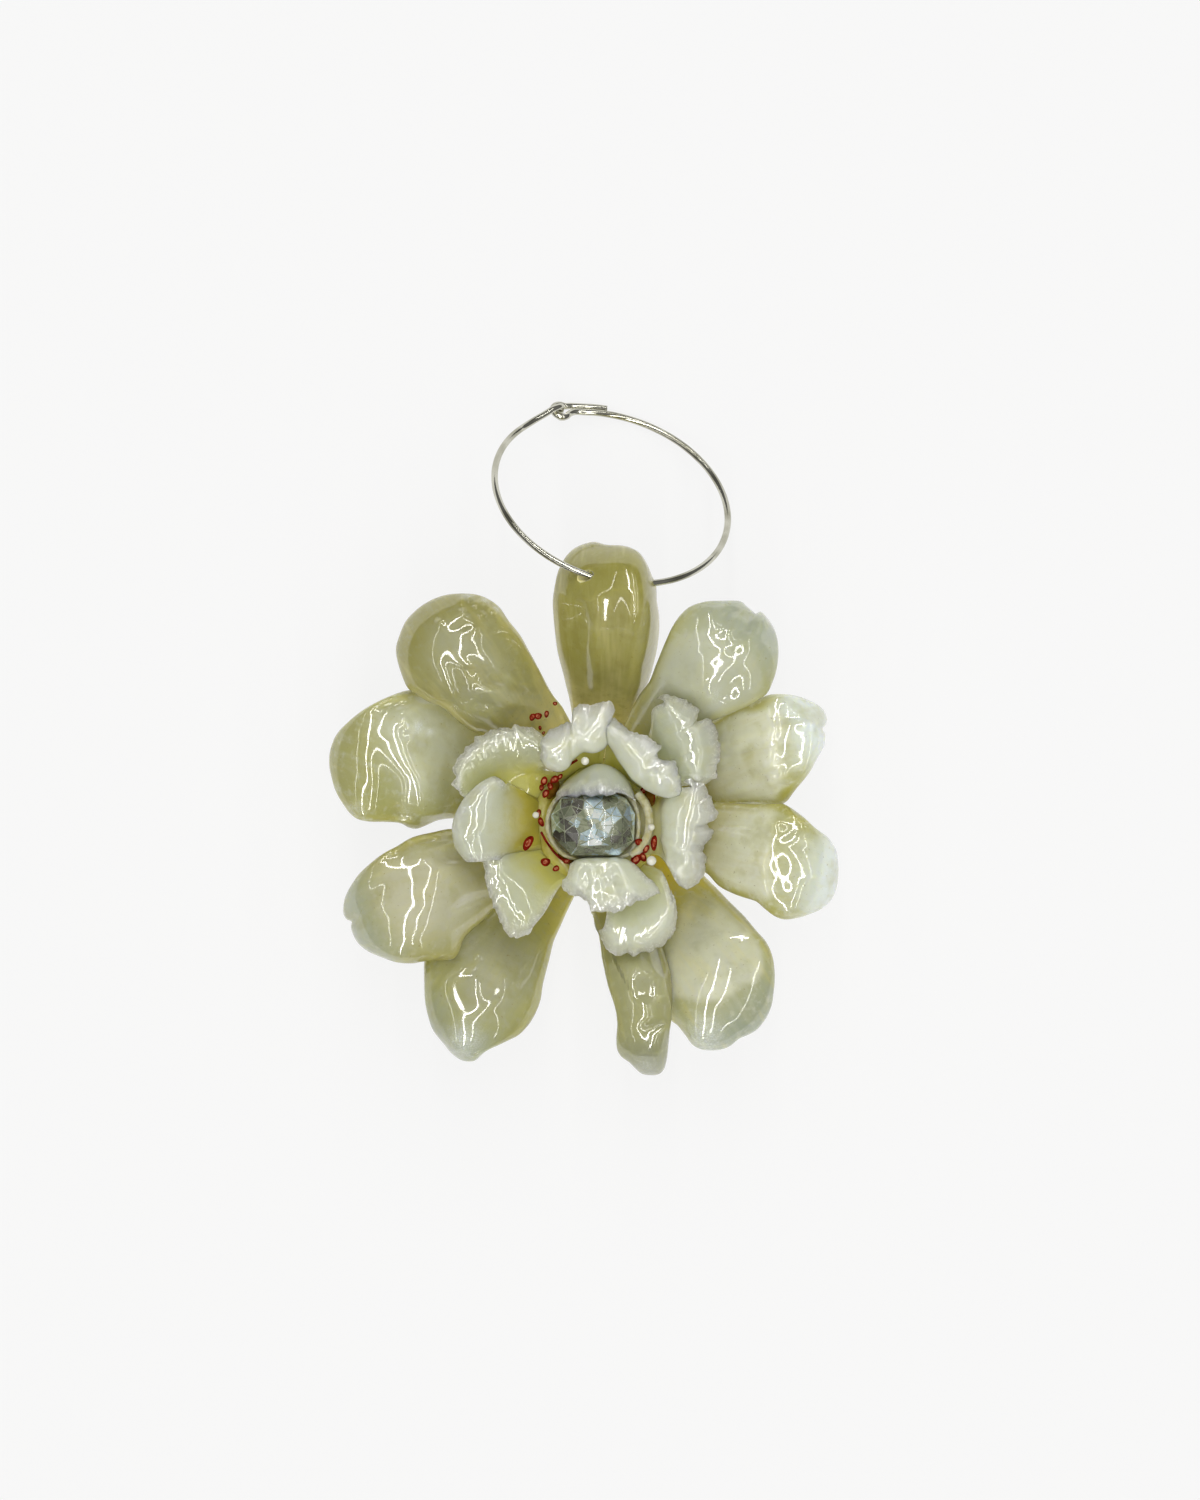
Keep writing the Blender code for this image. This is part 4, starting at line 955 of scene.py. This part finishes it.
def crystal(seed=5):
    """A cut bead with eight-sided girdle, and a tone for each facet that paints its reflections and flashes."""
    rng = np.random.default_rng(seed)
    middle = plan([CRYSTAL_MIDDLE], CRYSTAL_HEIGHT)[0]
    corners = plan(CRYSTAL_OUTLINE, CRYSTAL_HEIGHT) - middle
    between = (corners + np.roll(corners, -1, axis=0)) / 2
    bm = bmesh.new()
    for k, (size, height) in enumerate(CRYSTAL_CUTS):
        for x, y in (between if k in (1, 3, 6, 8) else corners) * size:
            bm.verts.new((middle[0] + x, middle[1] + y, CRYSTAL_HEIGHT + height))
    bmesh.ops.convex_hull(bm, input=list(bm.verts))
    bmesh.ops.dissolve_limit(bm, angle_limit=math.radians(3), verts=bm.verts, edges=bm.edges)
    bmesh.ops.bevel(bm, geom=list(bm.edges), offset=CRYSTAL_BEVEL, segments=1, affect="EDGES")
    bmesh.ops.scale(bm, vec=(MM, MM, MM), verts=bm.verts)
    data = bpy.data.meshes.new("crystal_bead")
    bm.to_mesh(data)
    bm.free()
    centres = np.array([f.center for f in data.polygons]) / MM
    spots = plan([(px, py) for px, py, _ in PAINTED_FLASHES], CRYSTAL_HEIGHT)
    away = np.hypot(centres[:, :1] - spots[:, 0], centres[:, 1:2] - spots[:, 1])
    values = np.array([s[2] for s in PAINTED_FLASHES])[away.argmin(axis=1)] + rng.uniform(-0.1, 0.1, len(centres))
    values[np.array([f.area for f in data.polygons]) < SMALL_FACET * MM**2] = EDGE_TONE
    tone = data.attributes.new("tone", "FLOAT", "FACE")
    tone.data.foreach_set("value", values.astype(np.float32))
    data.materials.append(facet_material())
    return link("crystal_bead", data)


def clear_resin(name, body, share):
    """Clear resin, thin enough that light goes straight through: some body colour and the gloss of its surface."""
    n = Nodes(name)
    cloud = n.noise(0.8, 2.0, 0.6)
    n.set(Base_Color=body, Roughness=0.2, IOR=1.5, Coat_Weight=0.0)
    through = n.node("ShaderNodeBsdfTransparent")
    haze = n.node("ShaderNodeMixShader")
    n.put(haze.inputs[0], n.ramp(cloud, 0.3, 0.7, share * 0.5, share * 1.5))
    n.put(haze.inputs[1], through.outputs[0])
    n.put(haze.inputs[2], n.shader.outputs[0])
    gloss = n.node("ShaderNodeBsdfGlossy", {"Roughness": 0.03})
    edge = n.node("ShaderNodeFresnel", {"IOR": 1.5})
    both = n.node("ShaderNodeMixShader")
    n.put(both.inputs[0], edge.outputs[0])
    n.put(both.inputs[1], haze.outputs[0])
    n.put(both.inputs[2], gloss.outputs[0])
    n.tree.links.new(both.outputs[0], n.tree.nodes["Material Output"].inputs["Surface"])
    return n.material


COAT_REACH, COAT_MARGIN = 4.0, 0.22


def resin_coat():
    """Clear resin round the crystal: a drop with the crystal's outline, a little larger."""
    around, up = 96, 40
    middle = plan([CRYSTAL_MIDDLE], CRYSTAL_HEIGHT)[0]
    outline = spline(plan(CRYSTAL_OUTLINE, CRYSTAL_HEIGHT), 720, closed=True)
    angles, radii = reach_by_angle(outline, middle, around)
    verts = [(middle[0], middle[1], CRYSTAL_HEIGHT + COAT_REACH)]
    for i in range(1, up):
        tilt = math.pi * i / up
        for turn, radius in zip(angles, radii):
            r = (radius + COAT_MARGIN) * math.sin(tilt) ** 0.85
            z = COAT_REACH * math.cos(tilt) + 0.12 * math.sin(3 * turn + 1) * math.sin(tilt)
            verts.append((middle[0] + r * math.cos(turn), middle[1] + r * math.sin(turn), CRYSTAL_HEIGHT + z))
    verts.append((middle[0], middle[1], CRYSTAL_HEIGHT - COAT_REACH))
    faces = []
    for j in range(around):
        k = (j + 1) % around
        faces.append((0, 1 + j, 1 + k))
        for i in range(up - 2):
            a, b = 1 + i * around, 1 + (i + 1) * around
            faces.append((a + j, b + j, b + k, a + k))
        last = 1 + (up - 2) * around
        faces.append((len(verts) - 1, last + k, last + j))
    return make_object("resin_coat", verts, faces, clear_resin("clear_coat", (0.62, 0.60, 0.50), 0.1))


LIP_MARGIN = 0.045  # share by which the lip is wider than the crystal
RIM_BACK = [(637, 793), (645, 803), (649, 817), (648, 834), (641, 847), (631, 856)]


def collar_resin():
    """The hazy lip of resin that holds the crystal, and a thicker one behind it on the right."""
    mx, my = CRYSTAL_MIDDLE
    lip = [(px + LIP_MARGIN * (px - mx), py + LIP_MARGIN * (py - my)) for px, py in CRYSTAL_OUTLINE]
    lip = spline([tuple(at(px, py, 16.6)) for px, py in lip], 120, closed=True)
    back = spline([tuple(at(px, py, 16.8)) for px, py in RIM_BACK], 50)
    hazy = lip_resin()
    return (tube("collar_resin", [np.vstack([lip, lip[:2]])], 0.3, hazy, sides=16),
            tube("collar_back", [back], 0.46, hazy, sides=16))


def throat_resin():
    """The yellow-green pool of resin round the crystal, that the inner petals rise from."""
    around, across = 96, 14
    verts = []
    for i in range(around):
        turn = 2 * math.pi * i / around
        for j in range(across):
            a = 2 * math.pi * j / across
            r = 5.5 + 1.3 * math.cos(a) + 0.15 * math.sin(3 * turn)
            z = 13.2 + (1.3 + 0.35 * math.sin(2 * turn + 0.6) + 0.2 * math.sin(5 * turn)) * math.sin(a)
            verts.append((r * math.cos(turn), r * math.sin(turn), z))
    return make_object("throat_resin", verts, torus_faces(around, across), hub_resin())


RED_BEADS = (  # px, py, height, half width, half length, direction of the length in degrees
    (544, 781, 17.2, 0.34, 0.46, 70), (554.5, 779.5, 17.4, 0.36, 0.48, 30), (550, 786, 17.0, 0.3, 0.4, 100),
    (545.5, 793.5, 16.8, 0.32, 0.46, 60), (541.5, 787.5, 16.8, 0.24, 0.34, 80), (560, 776.5, 17.2, 0.22, 0.32, 45),
    (538.5, 813, 17.0, 0.26, 0.4, 85), (541, 822, 17.0, 0.28, 0.5, 110), (528, 843, 17.0, 0.42, 0.82, 60),
    (545.5, 862, 16.6, 0.42, 0.5, 0), (566.5, 861, 16.4, 0.26, 0.34, 20), (556, 868.5, 16.2, 0.3, 0.36, 30),
    (654, 843, 17.2, 0.32, 0.78, 85), (646, 849, 17.0, 0.3, 0.46, 60), (639, 842, 17.0, 0.36, 0.42, 0),
    (636, 859.5, 17.0, 0.44, 0.62, 40), (643, 857, 16.8, 0.34, 0.5, 110), (648, 831, 17.0, 0.22, 0.3, 0),
    (651, 798, 15.8, 0.4, 0.62, 100), (644, 790, 15.6, 0.3, 0.5, 40),
    (532.5, 717, 16.0, 0.3, 0.4, 60), (538, 716, 15.8, 0.34, 0.4, 0), (546.5, 714, 15.8, 0.24, 0.36, 80),
    (555, 703.5, 15.4, 0.2, 0.24, 0), (540, 728, 16.0, 0.16, 0.24, 100), (543.5, 733, 16.0, 0.14, 0.2, 60),
)
BROWN_DROPS = ((650, 797, 15.6, 0.55, 1.0, 100), (553, 790, 15.6, 0.5, 1.1, 60), (566, 858, 15.2, 0.5, 1.0, 140))
PALE_BEADS = ((585, 761, 18.6, 0.42), (535.7, 815, 18.0, 0.34), (651.4, 860.8, 17.8, 0.5), (651.4, 827.3, 17.4, 0.34))
FILAMENTS = (  # runs of (px, py, height)
    [(562, 771, 17.4), (569, 765, 17.6), (577, 760, 17.2)],
    [(541, 832, 17.0), (546, 841, 16.8), (553, 851, 16.2)],
    [(553, 851, 16.2), (560, 858, 15.8), (566, 861, 16.4)],
)


def beads(name, specs, material, swell=1.0, rings=False):
    """Small bodies: round ones, or rings drawn out in one direction."""
    bm = bmesh.new()
    for px, py, z, half_width, half_length, turn in specs:
        place = Matrix.Translation(Vector(at(px, py, z)))
        spin = Matrix.Rotation(math.radians(turn), 4, "Z")
        size = Matrix.Diagonal((half_length * swell, half_width * swell, half_width * swell, 1.0))
        matrix = place @ spin @ size
        if not rings:
            bmesh.ops.create_uvsphere(bm, u_segments=24, v_segments=16, radius=1.0, matrix=matrix)
            continue
        around, across = 28, 12
        grid = []
        for i in range(around):
            a = 2 * math.pi * i / around
            for j in range(across):
                b = 2 * math.pi * j / across
                r = 0.74 + (0.3 + 0.05 * math.sin(3 * a + turn)) * math.cos(b)
                point = Vector((r * math.cos(a), r * math.sin(a), 0.5 * math.sin(b)))
                grid.append(bm.verts.new(matrix @ point))
        for face in torus_faces(around, across):
            bm.faces.new([grid[q] for q in face])
    bmesh.ops.scale(bm, vec=(MM, MM, MM), verts=bm.verts)
    data = bpy.data.meshes.new(name)
    bm.to_mesh(data)
    bm.free()
    data.shade_smooth()
    data.materials.append(material)
    return link(name, data)


def tube(name, runs, radius, material, sides=10):
    """Round tubes along runs of points, with closed ends, as one mesh."""
    verts, faces = [], []
    for run in runs:
        path = np.asarray(run, float)
        tangents = np.gradient(path, axis=0)
        tangents /= np.linalg.norm(tangents, axis=1, keepdims=True)
        side = np.cross(tangents[0], (0.3, 0.2, 1.0))
        faces += tube_faces(len(verts), len(path), sides)
        for p, d in zip(path, tangents):
            side = side - d * np.dot(side, d)
            side /= np.linalg.norm(side)
            up = np.cross(d, side)
            for j in range(sides):
                turn = 2 * math.pi * j / sides
                verts.append(p + radius * (side * math.cos(turn) + up * math.sin(turn)))
    thing = make_object(name, verts, faces, material)
    thing.data.set_sharp_from_angle(angle=math.radians(60))
    return thing


# Ear hoop: the solid model's wire, in finer steps
HOOP_RADIUS, WIRE_RADIUS = 12.5, 0.35
HOOP_CENTRE, HOOP_TURN, HOOP_TILT = (1.6, 33.75), -19.6, 46.5
HOOP_ENTRY, HOOP_EXIT = -86.3, -54.7
CLASP_ANGLE, EYE_RADIUS, TAIL_LIFT, TAIL_ANGLE = 128.5, 0.9, 0.8, 106.0
LOWEST_ANGLE = 103.0
HOLE_CLEARANCE, HOLE_OVERRUN = 0.1, 2.6


def hoop_axes():
    """The hoop's own axes: two in its plane, then its normal."""
    turn, tilt = math.radians(HOOP_TURN), math.radians(HOOP_TILT)
    across = Vector((math.cos(turn), math.sin(turn), 0.0))
    away = Vector((-math.sin(turn) * math.cos(tilt), math.cos(turn) * math.cos(tilt), -math.sin(tilt)))
    return Matrix((across, away, across.cross(away))).transposed()


def hoop_middle():
    """The hoop's middle, as high as lets its lowest point lie on the floor."""
    lowest = (HOOP_RADIUS + TAIL_LIFT) * math.sin(math.radians(HOOP_TILT)) * math.sin(math.radians(LOWEST_ANGLE))
    return Vector((*HOOP_CENTRE, lowest + WIRE_RADIUS))


def hoop_point(angle, radius=HOOP_RADIUS, lift=0.0):
    """A point of the hoop in its own axes."""
    turn = math.radians(angle)
    return Vector((radius * math.cos(turn), radius * math.sin(turn), lift))


def clasp_point(along, out, lift=0.0):
    """A point near the clasp: onward along the wire, outward from the hoop, and off its plane."""
    angle = math.radians(CLASP_ANGLE)
    outward = Vector((math.cos(angle), math.sin(angle), 0.0))
    onward = Vector((-math.sin(angle), math.cos(angle), 0.0))
    return outward * (HOOP_RADIUS + out) + onward * along + Vector((0.0, 0.0, lift))


def hoop_wire(material):
    """The wire in one run: its hook, the round of the hoop, the eye and the tail."""
    hook = [
        clasp_point(-0.7, 0.5, -1.2), clasp_point(-0.05, 0.4, -0.9), clasp_point(0.1, 0.4, 0.0),
        clasp_point(0.3, 0.3, 0.8), clasp_point(1.3, 0.05, 0.85), hoop_point(CLASP_ANGLE + 11, lift=0.55),
        hoop_point(CLASP_ANGLE + 17, lift=0.2), hoop_point(CLASP_ANGLE + 24),
    ]
    first, last = CLASP_ANGLE - 360 + 28, CLASP_ANGLE - 12
    round_hoop = [hoop_point(first + (last - first) * step / 60) for step in range(61)]
    turns = [math.radians(turn) for turn in range(-140, 141, 35)]
    eye = [clasp_point(EYE_RADIUS * math.cos(t), TAIL_LIFT / 2 + EYE_RADIUS * math.sin(t)) for t in turns]
    neck = EYE_RADIUS + 0.55
    tail = [clasp_point(-neck, TAIL_LIFT + 0.05)]
    tail += [hoop_point(angle, HOOP_RADIUS + TAIL_LIFT) for angle in (116.0, 111.0, TAIL_ANGLE)]
    points = hook + round_hoop + [clasp_point(-neck, 0.0)] + eye + tail
    smooth_path = spline([tuple(p) for p in points], 620)
    axes, middle = hoop_axes(), hoop_middle()
    world = [tuple(middle + axes @ Vector(p)) for p in smooth_path]
    return tube("hoop_wire", [world], WIRE_RADIUS, material, sides=20)


def wire_holes(material):
    """The room that the wire swings in, cut through the top petal."""
    start, end = hoop_point(HOOP_ENTRY), hoop_point(HOOP_EXIT)
    pivot, reach = (start + end) / 2, (end - start).length / 2 + HOLE_OVERRUN
    sides, stations = 32, np.linspace(-reach, reach, 17)
    verts = []
    for station in stations:
        sag = abs(math.sqrt(HOOP_RADIUS**2 - station**2) - pivot.length) + WIRE_RADIUS + HOLE_CLEARANCE
        for j in range(sides):
            turn = 2 * math.pi * j / sides
            verts.append(Vector((sag * math.cos(turn), sag * math.sin(turn), station)))
    axes = hoop_axes()
    direction = (axes @ (end - start)).normalized()
    turn = direction.to_track_quat("Z", "Y").to_matrix()
    origin = hoop_middle() + axes @ pivot
    verts = [tuple(origin + turn @ v) for v in verts]
    return make_object("wire_holes", verts, tube_faces(0, len(stations), sides), material)


def cut(thing, cutter):
    """Take a cutter's room out of a thing, and the cutter out of the scene."""
    hole = thing.modifiers.new("hole", "BOOLEAN")
    hole.operation, hole.object, hole.solver = "DIFFERENCE", cutter, "EXACT"
    bpy.context.view_layer.update()
    made = bpy.data.meshes.new_from_object(thing.evaluated_get(bpy.context.evaluated_depsgraph_get()))
    thing.modifiers.clear()
    thing.data = made
    bpy.data.objects.remove(cutter)


# Build

for seed, (name, petal) in enumerate(OUTER.items()):
    thing = outer_petal(name + "_resin", petal, seed)
    if name == "petal_top":
        cut(thing, wire_holes(thing.data.materials[0]))
    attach(thing, "flower")
    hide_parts(name)

for seed, (name, rows) in enumerate(FRILLS.items()):
    pale = IVORY[name]
    throat = DEEP_THROAT if name in ("frill_left", "frill_right") else THROAT
    body, clear = (tuple(pale * part for part in tint) for tint in (IVORY_TINT, CLEAR_TINT))
    ivory = frill_resin(name, body, throat, clear, THROAT_TOP.get(name, USUAL_THROAT_TOP))
    thing = frill(name, rows, ivory, seed + 20)
    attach(thing, "flower")
    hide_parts(name)

gem = crystal()
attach(gem, "flower")
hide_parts("crystal")
coat = resin_coat()
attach(coat, "flower")
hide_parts("collar")
for thing in (*collar_resin(), throat_resin()):
    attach(thing, "flower")
    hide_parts("collar")

red = bead_glass("red_glass", (0.11, 0.004, 0.002), (0.22, 0.012, 0.004))
pale = bead_glass("pale_glass", (0.72, 0.70, 0.58), (0.85, 0.84, 0.76))
red_ones = beads("red_beads", RED_BEADS, red, rings=True)
# The lighter amber middles of the red beads are painted light, for the light that shows through each bead's middle.
painted_light_amber = bead_glass("amber_glass", (0.25, 0.03, 0.01), (0.55, 0.22, 0.12))
painted_light_middles = beads("bead_middles", RED_BEADS, painted_light_amber, swell=0.62)
brown = bead_glass("brown_glass", (0.10, 0.045, 0.004), (0.17, 0.08, 0.01))
drops = beads("brown_drops", BROWN_DROPS, brown)
pale_ones = beads("pale_beads", [(px, py, z, r, r, 0) for px, py, z, r in PALE_BEADS], pale)
threads = tube("filaments", [spline(row(run), 12) for run in FILAMENTS], 0.13, red)
for thing, slot in ((red_ones, "bead_red"), (painted_light_middles, "bead_red"), (drops, "bead_red"), (pale_ones, "resin_ivory"),
                    (threads, "bead_red")):
    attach(thing, "flower")
    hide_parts("stamens")

wire = hoop_wire(silver_wire())
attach(wire, "hoop")
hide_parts("ear_hoop")

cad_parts["receptacle"].data.materials.clear()
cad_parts["receptacle"].data.materials.append(hub_resin())

# Floor, light and camera


LAMPS = (  # name, x, height, width and length in mm, and radiance
    ("strip_near", -60.0, 1150.0, 55.0, 7000.0, 17.0), ("strip_right", 300.0, 1150.0, 45.0, 4000.0, 11.0),
    ("strip_far_right", 850.0, 1150.0, 50.0, 4000.0, 7.0), ("strip_far_left", -800.0, 1150.0, 50.0, 4000.0, 6.0),
)
FLOOR_REACH = 3000.0


def floor():
    """A pale floor, bright enough in itself to come out white."""
    n = Nodes("pale_floor")
    n.set(Base_Color=(0.12, 0.12, 0.12), Roughness=0.9, Emission_Color=(1.0, 1.0, 1.0), Emission_Strength=0.82)
    n.put(n.shader.inputs["Specular IOR Level"], 0.0)
    corners = [(x * FLOOR_REACH, y * FLOOR_REACH, 0) for x, y in ((-1, -1), (1, -1), (1, 1), (-1, 1))]
    thing = make_object("floor", corners, [(0, 1, 2, 3)], n.material, smooth_shade=False)


def strip_lamp(name, x, height, width, length, radiance):
    """A long, narrow lamp along y, that looks at the flower."""
    data = bpy.data.lights.new(name, "AREA")
    data.shape = "RECTANGLE"
    data.size, data.size_y = width * MM, length * MM
    data.energy = radiance * math.pi * data.size * data.size_y
    data.color = (1.0, 0.99, 0.96)
    thing = link(name, data)
    thing.location = (x * MM, AXIS[1] * MM, height * MM)
    thing.rotation_euler = (0.0, math.atan2(x - AXIS[0], height), 0.0)


def sky(low, high, start, end):
    """White light all round, that grows from low to high between two heights of the sky."""
    world = bpy.data.worlds.new("studio")
    bpy.context.scene.world = world
    world.use_nodes = True
    tree = world.node_tree
    back = tree.nodes["Background"]
    coordinate = tree.nodes.new("ShaderNodeTexCoord")
    split = tree.nodes.new("ShaderNodeSeparateXYZ")
    ramp = tree.nodes.new("ShaderNodeMapRange")
    ramp.interpolation_type = "SMOOTHSTEP"
    for socket, value in zip(list(ramp.inputs)[1:5], (start, end, low, high)):
        socket.default_value = value
    tree.links.new(coordinate.outputs["Generated"], split.inputs[0])
    tree.links.new(split.outputs["Z"], ramp.inputs[0])
    tree.links.new(ramp.outputs[0], back.inputs["Strength"])
    back.inputs["Color"].default_value = (1.0, 1.0, 1.0, 1.0)


def camera():
    """The camera that looks straight down on the flower."""
    data = bpy.data.cameras.new("camera")
    data.sensor_width = SENSOR
    data.lens = SENSOR * (CAMERA_HEIGHT - FOCUS_HEIGHT) / FRAME_HEIGHT
    data.clip_start, data.clip_end = 0.05, 50.0
    thing = link("camera", data)
    thing.location = (AXIS[0] * MM, AXIS[1] * MM, CAMERA_HEIGHT * MM)
    bpy.context.scene.camera = thing


floor()
for lamp in LAMPS:
    strip_lamp(*lamp)
sky(0.14, 0.26, 0.10, 0.90)
camera()
bpy.context.scene.view_settings.view_transform = "Standard"
